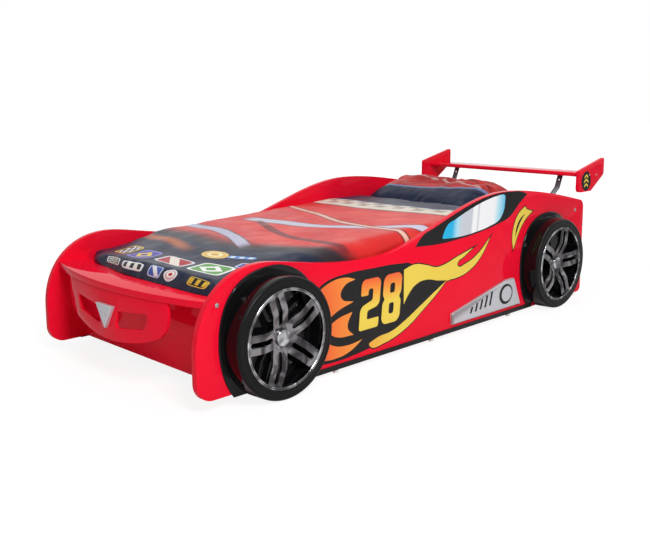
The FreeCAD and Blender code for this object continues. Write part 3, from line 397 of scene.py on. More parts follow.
def edit(piece, *steps, choose=None):
    """Run edit mode operators on a piece, on all of it or on the edges that choose picks."""
    only(piece)
    bpy.ops.object.mode_set(mode="EDIT")
    bpy.ops.mesh.select_mode(type="EDGE" if choose else "VERT")
    bpy.ops.mesh.select_all(action="DESELECT" if choose else "SELECT")
    if choose:
        bpy.ops.object.mode_set(mode="OBJECT")
        for edge in piece.data.edges:
            edge.select = choose(edge)
        bpy.ops.object.mode_set(mode="EDIT")
    for step in steps:
        step()
    bpy.ops.object.mode_set(mode="OBJECT")


def weld():
    """Merge corners that lie within 0.02 mm of each other."""
    bpy.ops.mesh.remove_doubles(threshold=0.02 * MM)


def outward():
    """Turn every face to point out of its shape."""
    bpy.ops.mesh.normals_make_consistent(inside=False)


def shaped(piece, kind, **settings):
    """Add a modifier and apply it."""
    only(piece)
    modifier = piece.modifiers.new(kind.lower(), kind)
    for name, value in settings.items():
        setattr(modifier, name, value)
    bpy.ops.object.modifier_apply(modifier=modifier.name)


def smooth(piece, degrees=35):
    """Shade smooth across edges that turn less than some degrees."""
    only(piece)
    bpy.ops.object.shade_smooth_by_angle(angle=math.radians(degrees))


def placed(piece, name, finish, body="frame", replaces=()):
    """Name a finished piece, bake its place into its mesh, and give it its finish and its body."""
    only(piece)
    piece.name = name
    piece.data.name = name
    bpy.ops.object.transform_apply(location=True, rotation=True, scale=True)
    piece.data.materials.clear()
    for material in finish if isinstance(finish, (list, tuple)) else [finish]:
        piece.data.materials.append(material)
    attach(piece, body)
    if replaces:
        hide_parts(*replaces)
    return piece


def copy_of(node):
    """Free copy of a CAD node, its loose triangles welded into clean faces."""
    piece = bpy.data.objects.new(node + "_copy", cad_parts[node].data.copy())
    bpy.context.scene.collection.objects.link(piece)
    piece.data.materials.clear()
    edit(piece, weld, lambda: bpy.ops.mesh.dissolve_limited(angle_limit=math.radians(0.6)), outward)
    return piece


def eased(node, name, edge, finish, body="frame", segments=3):
    """A CAD node's shape with its sharp edges rounded."""
    piece = copy_of(node)
    shaped(piece, "BEVEL", width=edge, segments=segments, limit_method="ANGLE",
           angle_limit=math.radians(40), use_clamp_overlap=True)
    smooth(piece)
    return placed(piece, name, finish, body, [node])


def spun(name, loop, centre, way, steps=144):
    """Turn a closed loop of radius and height points, in millimetres, about the Y axis."""
    bpy.ops.mesh.primitive_circle_add(vertices=len(loop), radius=1)
    piece = bpy.context.object
    for vertex, (radius, height) in zip(piece.data.vertices, loop):
        vertex.co = Vector((centre.x + radius * MM, centre.y - way * height * MM, centre.z))
    edit(piece, lambda: bpy.ops.mesh.spin(steps=steps, angle=2 * math.pi, center=centre, axis=(0, 1, 0)),
         weld, lambda: bpy.ops.mesh.dissolve_degenerate(threshold=0.00001), outward)
    piece.name = name
    return piece


def arc(centre, radius, start, end, count=6):
    """Points of a round corner, as radius and height, between two angles in degrees."""
    return [(centre[0] + radius * math.cos(math.radians(start + (end - start) * step / count)),
             centre[1] + radius * math.sin(math.radians(start + (end - start) * step / count)))
            for step in range(count + 1)]


# ---------------------------------------------------------------- printed film

def film(name, outlines, lift, finish, way=1, grow=0.0, plane=None):
    """Cut a flat piece of film from outlines of X, Z and corner points, and lay it on a side.

    A point is (x, z), which the edge rounds, or (x, z, radius) for a corner, radius 0 for a tip.
    """
    bpy.ops.curve.primitive_bezier_circle_add(radius=1)
    piece = bpy.context.object
    curve = piece.data
    curve.dimensions = "2D"
    curve.fill_mode = "BOTH"
    curve.resolution_u = 10
    curve.splines.clear()
    for outline in outlines:
        spline = curve.splines.new("BEZIER")
        spline.use_cyclic_u = True
        points = bezier_points(outline)
        spline.bezier_points.add(len(points) - 1)
        for knot, (spot, left, right) in zip(spline.bezier_points, points):
            knot.handle_left_type = knot.handle_right_type = "FREE" if left else "AUTO"
            knot.co = spot.to_3d()
            if left:
                knot.handle_left = left.to_3d()
                knot.handle_right = right.to_3d()
    curve.offset = grow
    only(piece)
    bpy.ops.object.convert(target="MESH")
    piece = bpy.context.object
    y = (SIDE_Y if plane is None else plane) - lift
    for vertex in piece.data.vertices:
        vertex.co = Vector((vertex.co.x, y * way, vertex.co.y))
    edit(piece, weld)
    for face in piece.data.polygons:
        if face.normal.y * way > 0:
            face.flip()
    piece.data.update()
    return placed(piece, name, finish)


ROUND_HANDLE = 0.55
TIP_HANDLE = 0.3
STRAIGHT_HANDLE = 0.05
LONGEST_CORNER = 0.48


def bezier_points(outline):
    """Knots with handles for an outline: smooth, round-cornered or pointed.

    A handle is a share of the way to a corner, and a corner takes a share of its straight at most.
    """
    spots = [Vector((NOSE_X + point[0] * MM, point[1] * MM)) for point in outline]
    count = len(spots)
    points = []
    for number, point in enumerate(outline):
        spot = spots[number]
        if len(point) == 2:
            points.append((spot, None, None))
            continue
        before = spots[number - 1] - spot
        after = spots[(number + 1) % count] - spot
        if point[2] == 0:
            points.append((spot, spot + before * TIP_HANDLE, spot + after * TIP_HANDLE))
            continue
        reach = min(point[2] * MM, before.length * LONGEST_CORNER, after.length * LONGEST_CORNER)
        start = spot + before.normalized() * reach
        end = spot + after.normalized() * reach
        points.append((start, start + before * STRAIGHT_HANDLE, start.lerp(spot, ROUND_HANDLE)))
        points.append((end, end.lerp(spot, ROUND_HANDLE), end + after * STRAIGHT_HANDLE))
    return points


WINDOW_FOOT = [(1031, 398, 0), (1178, 390), (1308, 394), (1444, 405), (1588, 426), (1665, 446), (1740, 498),
               (1800, 533, 0)]
GLASS_FOOT = [(1192, 408, 14), (1308, 403), (1445, 412), (1515, 422), (1590, 443), (1622, 474, 30)]


def panel_top(x):
    """Height of the side panel's top edge at a distance behind the nose."""
    place = NOSE_X + x * MM
    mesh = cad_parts["side_panel_left"].data
    heights = []
    for edge in mesh.edges:
        start, end = [mesh.vertices[number].co for number in edge.vertices]
        if (start.x - place) * (end.x - place) < 0:
            heights.append(start.z + (end.z - start.z) * (place - start.x) / (end.x - start.x))
    return max(heights) / MM


FILM_MARGIN = 0.6
GLASS_MARGIN = 9
GLASS_REAR = 1632
MARGIN_START = 1636
MARGIN_GROWTH = 0.045


def window_outlines():
    """Outlines of the window's black frame and of its glass, both under the roof's line."""
    rim = sizes().board_edge / MM + FILM_MARGIN
    roof = [(x, panel_top(x) - rim) for x in range(1740, 1050, -60)]
    rear = (GLASS_REAR, panel_top(GLASS_REAR) - GLASS_MARGIN, 22)
    above = [(x, panel_top(x) - GLASS_MARGIN - MARGIN_GROWTH * (MARGIN_START - x))
             for x in range(1580, 1220, -50)]
    return WINDOW_FOOT + roof, GLASS_FOOT + [rear] + above


GROUND = [
    (500, 50, 0), (600, 44), (700, 48), (790, 58), (880, 74), (980, 108), (1080, 158), (1160, 200),
    (1228, 238, 0), (1180, 250), (1120, 262), (1040, 300), (1014, 334), (940, 347), (800, 352), (640, 352),
    (560, 342), (500, 316, 0)]
LICKS = [
    [(506, 306, 0), (570, 334), (650, 340), (700, 326, 0), (640, 308), (626, 274), (690, 246, 0),
     (600, 222), (506, 168, 0)],
    [(506, 66, 0), (590, 56), (670, 66), (736, 98, 0), (660, 92), (590, 104), (536, 138), (506, 150, 0)],
    [(548, 170, 0), (600, 134), (690, 124, 0), (660, 158), (684, 210, 0), (610, 198)],
    [(966, 320, 0), (1030, 331), (1100, 318), (1160, 301), (1215, 304), (1290, 322), (1404, 346, 0),
     (1340, 316), (1300, 296), (1304, 283), (1350, 286), (1430, 312), (1522, 374, 0), (1462, 302),
     (1380, 254), (1280, 236), (1180, 244), (1100, 260), (1040, 252), (1000, 226), (966, 186, 0)],
    [(764, 72, 24), (820, 88), (900, 96), (980, 124), (1060, 160), (1140, 197), (1232, 238, 0), (1160, 188),
     (1084, 144), (1000, 98), (920, 70), (850, 57), (790, 54)]]
REAR_LEAF = [
    (1700, 296, 0), (1690, 350), (1700, 402), (1730, 448), (1784, 480, 0), (1800, 464, 4), (1846, 452, 0),
    (1800, 428), (1762, 396), (1730, 352)]
REAR_VEIN = [(1712, 350, 0), (1721, 394), (1750, 430), (1788, 447, 0), (1757, 421), (1733, 388)]

# Where a print's colours run from their first to their last: behind the nose, or above the floor.
FLAME_FADE = (500, 1120)
NUMBER_FADE = (130, 320)
WINDOW_FADE = (1200, 1600)

# Digits on a plate 100 wide and 180 high: outlines of straight runs with rounded corners.
DIGITS = {
    "2": [[(0, 180, 20), (100, 180, 26), (100, 78, 20), (38, 66, 8), (38, 36, 5), (100, 36, 5),
           (100, 0, 10), (0, 0, 10), (0, 84, 20), (62, 102, 8), (62, 144, 10), (38, 144, 10),
           (38, 122, 5), (0, 122, 8)]],
    "8": [[(0, 180, 28), (100, 180, 28), (100, 106, 14), (88, 92, 8), (100, 78, 14), (100, 0, 28),
           (0, 0, 28), (0, 78, 14), (12, 92, 8), (0, 106, 14)],
          [(37, 146, 10), (63, 146, 10), (63, 110, 8), (37, 110, 8)],
          [(37, 74, 8), (63, 74, 8), (63, 34, 10), (37, 34, 10)]],
}
RACE_NUMBER = "28"
DIGIT_WIDTH = 100.0
DIGIT_HEIGHT = 180.0
DIGIT_STEP = 116.0
DIGIT_LEAN = 0.10
NUMBER_PLACE = (716, 130)
NUMBER_LINE = 1.4


def number_outlines(left_x, low_z, way):
    """Outlines of the race number, set so that it reads from its own side."""
    scale = sizes().number_height / MM / DIGIT_HEIGHT
    outlines = []
    for place, digit in enumerate(RACE_NUMBER):
        for shape in DIGITS[digit]:
            turned = []
            for x, z, radius in shape:
                run = place * DIGIT_STEP + x + DIGIT_LEAN * z
                if way < 0:
                    run = DIGIT_STEP + DIGIT_WIDTH - run
                turned.append((left_x + run * scale, low_z + z * scale, radius * scale))
            outlines.append(turned)
    return outlines


class BED_OT_side_prints(bpy.types.Operator):
    """Lay the printed window, flames and race number on both sides"""
    bl_idname = "bed.side_prints"
    bl_label = "Side prints"

    def execute(self, context):
        step = sizes().film_lift
        line = sizes().keyline
        window, glass = window_outlines()
        for side, way in SIDES:
            digits = number_outlines(*NUMBER_PLACE, way)
            film("flame_ground_" + side, [GROUND], step, black_film(), way)
            film("flame_line_" + side, LICKS, step * 2, black_film(), way, grow=line)
            film("flame_licks_" + side, LICKS, step * 3, flame_film(), way)
            film("rear_leaf_line_" + side, [REAR_LEAF], step, black_film(), way, grow=line)
            film("rear_leaf_" + side, [REAR_LEAF, REAR_VEIN], step * 2, flame_film(), way)
            film("number_ground_" + side, digits, step * 4, black_film(), way, grow=line * NUMBER_LINE)
            film("race_number_" + side, digits, step * 5, number_film(), way)
            film("window_frame_" + side, [window], step, black_film(), way)
            film("window_glass_" + side, [glass], step * 2, window_film(), way)
        return {"FINISHED"}


# ---------------------------------------------------------------- operators of the hard pieces

class BED_OT_boards(bpy.types.Operator):
    """Model the lacquered boards with eased edges"""
    bl_idname = "bed.boards"
    bl_label = "Lacquered boards"

    def execute(self, context):
        for node in ("side_panel_left", "side_panel_right", "foot_board", "headboard", "bonnet_shelf",
                     "bumper", "bumper_blocks", "wing", "end_plate_left", "end_plate_right"):
            eased(node, node + "_lacquered", sizes().board_edge, lacquer())
        return {"FINISHED"}
TREAD_RADIUS = 168.5
WALL_HEIGHT = 70.0
SPOKE_RADIUS = 158.0


class BED_OT_wheels(bpy.types.Operator):
    """Model the black wheel mouldings with their tyres, rims and hub caps"""
    bl_idname = "bed.wheels"
    bl_label = "Wheels"

    def execute(self, context):
        for end in ("front", "rear"):
            for side, way in SIDES:
                self.wheel("%s_%s" % (end, side), way)
        return {"FINISHED"}

    def wheel(self, corner, way):
        """Moulding, tyre, rim and hub cap at one corner of the bed."""
        edge = sizes().trim_edge
        hub = [sum(pair) / 2 for pair in zip(*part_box("hub_cap_" + corner))]
        centre = Vector((hub[0], SIDE_Y * way, hub[2]))
        eased("wheel_" + corner, "wheel_arch_" + corner, edge, black_gloss())
        tyre = spun("tyre", self.tyre_loop(), centre, way)
        smooth(tyre, 28)
        placed(tyre, "tyre_" + corner, [black_gloss(), tyre_wall()])
        self.second_finish(tyre, centre, lambda face, radius: radius > TREAD_RADIUS * MM
                           and abs(face.center.y) > abs(SIDE_Y) + WALL_HEIGHT * MM)
        rim = eased("rim_" + corner, "rim_%s_plated" % corner, edge, [chrome(), dark_reflection_chrome()],
                    segments=2)
        # The spokes' flat outward faces take the darker plating, a painted darker reflection.
        self.second_finish(rim, centre, lambda face, radius: radius < SPOKE_RADIUS * MM
                           and abs(face.normal.y) > 0.9)
        eased("hub_cap_" + corner, "hub_cap_%s_plated" % corner, edge, chrome())

    def second_finish(self, piece, centre, chosen):
        """Give a piece's second finish to the faces that chosen picks by face and by radius."""
        for face in piece.data.polygons:
            radius = math.hypot(face.center.x - centre.x, face.center.z - centre.z)
            face.material_index = 1 if chosen(face, radius) else 0

    def tyre_loop(self):
        """Outline of the tyre moulding and dish: radius and height, round the hollow wall."""
        shoulder = sizes().tyre_shoulder / MM
        tread = [(205.6, 0.0), (204.6, 30.0)] + arc((203.3 - shoulder, 76.4 - shoulder), shoulder, 0, 90)
        wall = [(186.0, 76.9), (184.0, 76.2), (182.0, 76.9), (173.0, 77.2)]
        wall += arc((170.5, 75.2), 2.2, 90, 180, 4)
        dish = [(167.9, 61.6), (159.8, 61.6), (159.0, 60.6), (154.0, 25.6), (152.5, 24.4), (60.0, 24.2),
                (0.0, 24.2)]
        inside = [(0.0, 21.0), (148.0, 21.0), (156.0, 57.0), (164.0, 58.0), (165.0, 70.0), (190.0, 71.0),
                  (200.0, 64.0), (201.5, 0.0)]
        return tread + wall + dish + inside


# Sill plate's print: slanted bars that grow to the rear, and a ring round an off-centre hole.
BAR_COUNT = 5
BAR_WIDTH = 13
BAR_FOOT = (1372, 74)
BAR_TOP = (1384, 100)
BAR_FOOT_STEP = (34, 2.4)
BAR_TOP_STEP = (35, 10.5)
RING = (1634, 113, 50, 44)
RING_HOLE = (1640, 113, 38, 33)

# End plate's print: an oval with chevrons that point up, the middle one widest.
OVAL = (2312, 549, 44, 46)
CHEVRON_FOOT = 518
CHEVRON_STEP = 21
CHEVRON_HALF = 21
CHEVRON_RISE = 12
CHEVRON_BAND = 11


def oval(x, z, half_width, half_height):
    """Outline of an ellipse, from eight points round it."""
    turns = [math.tau * number / 8 for number in range(8)]
    return [(x + half_width * math.cos(turn), z + half_height * math.sin(turn)) for turn in turns]


class BED_OT_trim(bpy.types.Operator):
    """Model the badge, sill plates, skirt strips, glides and wing struts"""
    bl_idname = "bed.trim"
    bl_label = "Trim"

    def execute(self, context):
        edge = sizes().trim_edge
        eased("badge_plate", "badge_painted", edge, silver_paint())
        for side, way in SIDES:
            eased("sill_plate_" + side, "sill_plate_painted_" + side, edge, silver_paint())
            eased("skirt_strip_" + side, "skirt_edging_" + side, edge, black_plastic())
            eased("wing_strut_" + side, "wing_strut_coated_" + side, 0.6 * MM, dark_steel())
            self.sill_print(side, way)
            self.end_plate_print(side, way)
        eased("floor_glides", "floor_glides_turned", edge, nylon())
        return {"FINISHED"}

    def sill_print(self, side, way):
        """Bars and ring on a sill plate."""
        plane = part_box("sill_plate_left")[0].y
        bars = []
        for number in range(BAR_COUNT):
            foot, foot_z = [start + step * number for start, step in zip(BAR_FOOT, BAR_FOOT_STEP)]
            top, top_z = [start + step * number for start, step in zip(BAR_TOP, BAR_TOP_STEP)]
            bars.append([(foot, foot_z, 3), (foot + BAR_WIDTH, foot_z, 3), (top + BAR_WIDTH, top_z, 3),
                         (top, top_z, 3)])
        film("sill_bars_" + side, bars, sizes().film_lift, black_film(), way, plane=plane)
        film("sill_ring_" + side, [oval(*RING), oval(*RING_HOLE)], sizes().film_lift, black_film(), way,
             plane=plane)

    def end_plate_print(self, side, way):
        """Oval with its chevrons on an end plate."""
        film("end_plate_oval_" + side, [oval(*OVAL)], sizes().film_lift, black_film(), way)
        middle = OVAL[0]
        chevrons = []
        for number in range(3):
            half = CHEVRON_HALF - 4 * abs(number - 1)
            low = CHEVRON_FOOT + CHEVRON_STEP * number
            high = low + CHEVRON_BAND
            chevrons.append([(middle - half, low, 2), (middle, low + CHEVRON_RISE, 2),
                             (middle + half, low, 2), (middle + half, high, 2),
                             (middle, high + CHEVRON_RISE, 2), (middle - half, high, 2)])
        film("end_plate_chevrons_" + side, chevrons, sizes().film_lift * 2, yellow_film(), way)


class BED_OT_slat_base(bpy.types.Operator):
    """Model the pine rails and slats and their webbing"""
    bl_idname = "bed.slat_base"
    bl_label = "Slat base"

    def execute(self, context):
        for side, _ in SIDES:
            eased("bearer_rail_" + side, "bearer_rail_planed_" + side, sizes().timber_edge,
                  pine("planed_pine_rail", 0))
            eased("slat_webbing_" + side, "slat_webbing_woven_" + side, 0.3 * MM, tape(),
                  "slat_base", 1)
        for node in sorted(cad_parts):
            if node.startswith("slat_") and "webbing" not in node:
                eased(node, node + "_planed", sizes().timber_edge * 0.5, pine("planed_pine_slat", 1),
                      "slat_base", 2)
        return {"FINISHED"}


class BED_OT_fixings(bpy.types.Operator):
    """Give the bolts, nuts and screws their plating"""
    bl_idname = "bed.fixings"
    bl_label = "Fixings"

    def execute(self, context):
        for node in ("panel_bolts", "barrel_nuts", "rail_screws", "wheel_screws", "strut_screws",
                     "end_plate_screws"):
            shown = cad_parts[node]
            shown.data.materials.clear()
            shown.data.materials.append(red_caps() if node == "wheel_screws" else zinc())
        return {"FINISHED"}


# ---------------------------------------------------------------- bedding

# The bedding's places and sizes in millimetres, and the pillow's as shares of its length and height,
# apart from its headroom in metres, which its folds and its filling take up.
DUVET_HEM_X = 98.0
DUVET_HEAD_X = 1694.0
DUVET_HALF = 449.0
DUVET_SHOULDER = 44.0
DUVET_HEAD_ROUND = 34.0
HEM_FACE = 66.0
HEM_REACH = 26.0
SAG = 12.0
SAG_FOOT = 200.0
SAG_END = 400.0
DUVET_FOOT_Z = 363.0
DUVET_CLIMB = 62.0
DUVET_SLOPE = 33.0
DUVET_CROWN = 7.0
FOOT_CROWN = 32.0
PILLOW_CREST = 0.62
PILLOW_FRONT = 0.44
PILLOW_REAR_FALL = 0.3
PILLOW_HEADROOM = 0.028
FILL_STEPS = 20


def eased_step(value, start, end):
    """0 before start, 1 after end, with a smooth rise between them."""
    share = min(max((value - start) / (end - start), 0.0), 1.0)
    return share * share * (3 - 2 * share)


def quarter_round(distance, reach):
    """Share of its full height that a round edge has at a distance in from it."""
    return math.sqrt(max(1 - (1 - min(max(distance, 0) / reach, 1)) ** 2, 0))


def ripple(spot, width, seed=0.0):
    """Smooth random height from -1 to 1 whose swells are width metres across."""
    return noise.noise(Vector((spot.x, spot.y, spot.z + seed)) / width)


def crease(spot, width, seed=0.0):
    """Height from 0 to 1 with narrow valleys, like cloth drawn into folds."""
    return 1 - abs(ripple(spot, width, seed)) * 2


def mattress_height(x):
    """Height of the mattress's top, which sinks a little at its foot."""
    return MATTRESS_HIGH.z / MM - SAG * (1 - eased_step(x, SAG_FOOT, SAG_END))


def cloth_block(name, along, across, place, print_size):
    """Closed block of even cells, each corner put in its place by its shares along and across."""
    bpy.ops.mesh.primitive_grid_add(x_subdivisions=along, y_subdivisions=across, size=2)
    piece = bpy.context.object
    piece.name = name
    piece.data.uv_layers.new(name="print")
    edit(piece, lambda: bpy.ops.mesh.extrude_region_move(TRANSFORM_OT_translate={"value": (0, 0, 1)}))
    spots = [vertex.co.copy() for vertex in piece.data.vertices]
    prints = piece.data.uv_layers["print"].data
    for loop in piece.data.loops:
        spot = spots[loop.vertex_index]
        prints[loop.index].uv = ((spot.x + 1) / 2 * print_size[0], spot.y * print_size[1])
    for vertex, spot in zip(piece.data.vertices, spots):
        vertex.co = place((spot.x + 1) / 2, spot.y, spot.z > 0.5)
    under = piece.vertex_groups.new(name="held")
    under.add([number for number, spot in enumerate(spots) if spot.z < 0.5], 1.0, "REPLACE")
    edit(piece, outward)
    return piece


def duvet_hem(across):
    """Where the duvet's foot edge lies: it runs back towards the right side, most at its corner."""
    hem = DUVET_HEM_X + 28 * eased_step(across, 0.1, 0.6) + 84 * max((across - 0.56) / 0.44, 0) ** 2
    return hem + 10 * eased_step(-across, 0.7, 1.0)


def duvet_top(x, across, support):
    """Height of the duvet's top: it climbs from the foot, crowned across, and clears its support."""
    lie = DUVET_FOOT_Z + DUVET_CLIMB * eased_step(x, 175, 560)
    lie += DUVET_SLOPE * min(max((x - 545) / 886, 0), 1)
    crown = DUVET_CROWN + FOOT_CROWN * (1 - eased_step(x, 230, 620))
    lie += crown * (1 - max(across, 0) ** 2 - 0.3 * max(-across, 0) ** 4)
    ground = support + 9
    return ground + math.log(1 + math.exp(min((lie - ground) / 5, 60))) * 5


def duvet_place(share, across, above):
    """Where a point of the duvet lies: it runs up from the shelf over the mattress's foot."""
    hem = duvet_hem(across)
    run = share * (DUVET_HEAD_X - hem - HEM_REACH + HEM_FACE)
    front = min(run / HEM_FACE, 1) * math.pi / 2
    x = hem + HEM_REACH * (1 - math.cos(front)) + max(run - HEM_FACE, 0)
    shelf = SHELF_Z / MM
    support = shelf + (mattress_height(x) - shelf) * eased_step(x, 168, 206) + 0.8
    if not above:
        return Vector((NOSE_X + x * MM, across * (DUVET_HALF - 3) * MM, support * MM))
    full = min(math.sin(front) ** 0.8, quarter_round(DUVET_HEAD_X - x, DUVET_HEAD_ROUND))
    thick = (duvet_top(x, across, support) - support) * full + 1.5
    shoulder = min(DUVET_SHOULDER, thick * 0.9)
    flat = DUVET_HALF - shoulder
    side = abs(across) * (flat + math.pi / 2 * shoulder + thick - shoulder)
    turn = min(max((side - flat) / shoulder, 0), math.pi / 2)
    y = min(side, flat) + shoulder * math.sin(turn)
    drop = shoulder * (1 - math.cos(turn)) + max(side - flat - math.pi / 2 * shoulder, 0)
    z = support + max(thick - drop, 0.5)
    spot = Vector((x, y * (1 if across > 0 else -1), 0)) * MM
    loose = eased_step(thick, 8, 50)
    z += 2.4 * loose * ripple(spot, 0.16) + 1.2 * loose * ripple(spot, 0.06, 3)
    z += 0.9 * (1 - loose) * ripple(Vector((0, spot.y, 0)), 0.045, 7)
    return Vector((NOSE_X + x * MM, spot.y, z * MM))


def pillow_place(share, across, above):
    """Where a point of the pillow lies: thin in front, highest at PILLOW_CREST, a full rear edge."""
    low, high = PILLOW_LOW, PILLOW_HIGH
    run = 0.5 - 0.5 * math.cos(math.pi * share)
    side = math.sin(math.pi / 2 * across)
    plump = (1 - abs(side) ** 12) ** 0.45
    inset = 0.06 * abs(side) ** 10
    x = low.x + (high.x - low.x) * (inset + (1 - 2 * inset) * run)
    y = (low.y + high.y) / 2 + (high.y - low.y) / 2 * side
    if not above:
        return Vector((x, y, low.z + 0.0008))
    if run < PILLOW_CREST:
        rise = PILLOW_FRONT + (1 - PILLOW_FRONT) * math.sin(math.pi / 2 * run / PILLOW_CREST)
    else:
        rise = 1 - PILLOW_REAR_FALL * ((run - PILLOW_CREST) / (1 - PILLOW_CREST)) ** 2
    ends = (1 - abs(2 * run - 1) ** 7) ** 0.45
    tall = (high.z - low.z - PILLOW_HEADROOM) * plump * rise * ends
    spot = Vector((x, y, 0))
    folds = eased_step(run, 0.3, PILLOW_CREST) * plump * ends
    skew = Vector((x + 0.5 * y, y * 0.45, 0))
    tall += folds * (0.022 * crease(skew, 0.075, 2) + 0.010 * crease(skew, 0.034, 5) - 0.016)
    tall += (1 - folds) * plump * ends * (0.004 * ripple(spot, 0.09) + 0.002 * ripple(spot, 0.035, 4))
    return Vector((x, y, low.z + 0.001 + max(tall, 0)))


def filled(piece, swell, pressure, slack):
    """Let a cloth block fill and settle with its underside held, then cap how far it moved."""
    start = [vertex.co.copy() for vertex in piece.data.vertices]
    only(piece)
    modifier = piece.modifiers.new("filling", "CLOTH")
    cloth = modifier.settings
    cloth.quality = 6
    cloth.mass = 0.25
    cloth.air_damping = 3
    cloth.tension_stiffness = 22
    cloth.compression_stiffness = 22
    cloth.shear_stiffness = 10
    cloth.bending_stiffness = 0.35
    cloth.use_pressure = True
    cloth.uniform_pressure_force = pressure
    cloth.shrink_min = -slack
    cloth.vertex_group_mass = "held"
    cloth.effector_weights.gravity = 0
    modifier.collision_settings.use_collision = False
    modifier.point_cache.frame_start = 1
    modifier.point_cache.frame_end = FILL_STEPS
    for step in range(1, FILL_STEPS + 1):
        bpy.context.scene.frame_set(step)
    bpy.ops.object.modifier_apply(modifier=modifier.name)
    bpy.context.scene.frame_set(1)
    for vertex, spot in zip(piece.data.vertices, start):
        move = vertex.co - spot
        if move.length > swell:
            vertex.co = spot + move * (swell / move.length)

def band(tree, value, low, high, soft):
    """1 where a value lies between low and high, fading over soft."""
    up = add(tree, "MapRange", value, low - soft / 2, low + soft / 2, interpolation_type="SMOOTHSTEP")
    down = add(tree, "MapRange", value, high - soft / 2, high + soft / 2, 1.0, 0.0,
               interpolation_type="SMOOTHSTEP")
    return add(tree, "Math", up, down, operation="MULTIPLY").outputs[0]


def sweep(tree, along, across, start, slope, bow, wave=0.0, beat=0.0):
    """Distance along the cloth from a line that runs across it with a slope, a bow and a wave."""
    bent = add(tree, "Math", across, bow, slope, operation="MULTIPLY_ADD")
    line = add(tree, "Math", bent, across, start, operation="MULTIPLY_ADD")
    turn = add(tree, "Math", add(tree, "Math", across, beat, operation="MULTIPLY"), operation="SINE")
    line = add(tree, "Math", turn, wave, line, operation="MULTIPLY_ADD")
    return add(tree, "Math", along, line, operation="SUBTRACT").outputs[0]

def patch(tree, spot, under, place, size, turn, edge, ground, mark, motif):
    """Printed badge with an edge, a ground and a plain motif, laid over a colour.

    Within the badge, both ways run from -1 to 1.
    """
    local = add(tree, "Mapping", spot, (place[0], place[1], 0), (0, 0, turn), (size[0] / 2, size[1] / 2, 1),
                vector_type="TEXTURE")
    along, across = add(tree, "SeparateXYZ", local).outputs[:2]
    x, y = add(tree, "SeparateXYZ", add(tree, "VectorMath", local, operation="ABSOLUTE")).outputs[:2]
    distance = add(tree, "VectorMath", local, operation="LENGTH").outputs["Value"]
    if motif == "ring":
        shape = band(tree, distance, 0.3, 0.62, 0.03)
    elif motif == "diamond":
        shape = band(tree, add(tree, "Math", x, y, operation="ADD"), 0.34, 0.72, 0.03)
    elif motif == "bars":
        phase = add(tree, "Math", across, 9.4, 1.6, operation="MULTIPLY_ADD")
        wave = add(tree, "Math", phase, operation="SINE")
        shape = add(tree, "Math", band(tree, wave, 0.0, 2.0, 0.1), band(tree, x, -1.0, 0.66, 0.02),
                    operation="MULTIPLY")
    elif motif == "chequers":
        squares = add(tree, "TexChecker", local, WHITE, BLACK, 3.0)
        shape = add(tree, "Math", squares.outputs["Fac"], band(tree, y, -1.0, 0.68, 0.02),
                    operation="MULTIPLY")
    else:
        slanted = add(tree, "Math", along, -0.6, across, operation="MULTIPLY_ADD")
        shape = band(tree, add(tree, "Math", slanted, operation="ABSOLUTE"), 0.0, 0.34, 0.03)
    if motif == "ring":
        base = add(tree, "Math", distance, 3.0, operation="POWER")
    else:
        base = add(tree, "Math", *[add(tree, "Math", part, 6.0, operation="POWER") for part in (x, y)],
                   operation="ADD")
    over = add(tree, "MixRGB", band(tree, base, -1.0, 1.0, 0.06), under, edge)
    over = add(tree, "MixRGB", band(tree, base, -1.0, 0.36, 0.05), over, ground)
    inside = add(tree, "Math", shape, band(tree, base, -1.0, 0.3, 0.05), operation="MULTIPLY")
    return add(tree, "MixRGB", inside, over, mark)


PATCHES = (
    # place along and across, size along and across, turn, edge, ground, mark, motif
    ((0.036, -0.365), (0.040, 0.105), 0.0, "#D8B23C", "#1B1B1F", "#D8B23C", "bars"),
    ((0.036, -0.205), (0.052, 0.075), 0.0, "#E4E7EA", "#B5262A", "#F1F1EC", "ring"),
    ((0.036, -0.110), (0.050, 0.080), 0.0, "#B9C4E4", "#3B56A6", "#E4E7EA", "slash"),
    ((0.034, 0.035), (0.036, 0.135), 0.0, "#E4E7EA", "#E9EAE4", "#23262E", "bars"),
    ((0.034, 0.195), (0.034, 0.130), 0.0, "#E4E7EA", "#3C7A58", "#E4E7EA", "chequers"),
    ((0.150, -0.300), (0.098, 0.165), 0.10, "#E9ECE8", "#5C9A4A", "#F3F4EF", "diamond"),
    ((0.142, -0.095), (0.072, 0.190), -0.06, "#D9DADD", "#A9242B", "#EDE3D6", "slash"),
    ((0.140, 0.105), (0.098, 0.130), 0.05, "#8C86CF", "#5148A0", "#E3C743", "diamond"),
    ((0.150, 0.262), (0.094, 0.110), -0.08, "#E2C13A", "#17181C", "#E8EAEE", "chequers"),
    ((0.262, -0.165), (0.066, 0.135), 0.0, "#E6C46E", "#D9A548", "#F3E3B2", "ring"),
    ((0.285, -0.290), (0.024, 0.120), 0.25, "#7FA6DA", "#5B8AD0", "#DDE7F4", "bars"),
    ((0.235, -0.400), (0.046, 0.110), 0.12, "#C7CFE8", "#39549E", "#C8383C", "slash"),
)


STRIPES = (
    # start along the cloth, slope, bow, half width, from and to across the cloth, colour
    (0.47, 0.34, -0.5, 0.026, -0.16, 0.5, "#B9B8D2"),
    (0.80, -0.30, 0.7, 0.030, -0.5, 0.30, "#C9C6D8"),
    (0.97, 0.22, 0.3, 0.012, -0.5, 0.5, "#E9B8A8"),
    (0.66, 0.30, 0.4, 0.010, -0.45, 0.2, "#7E1C22"),
)
TILE = 47.6


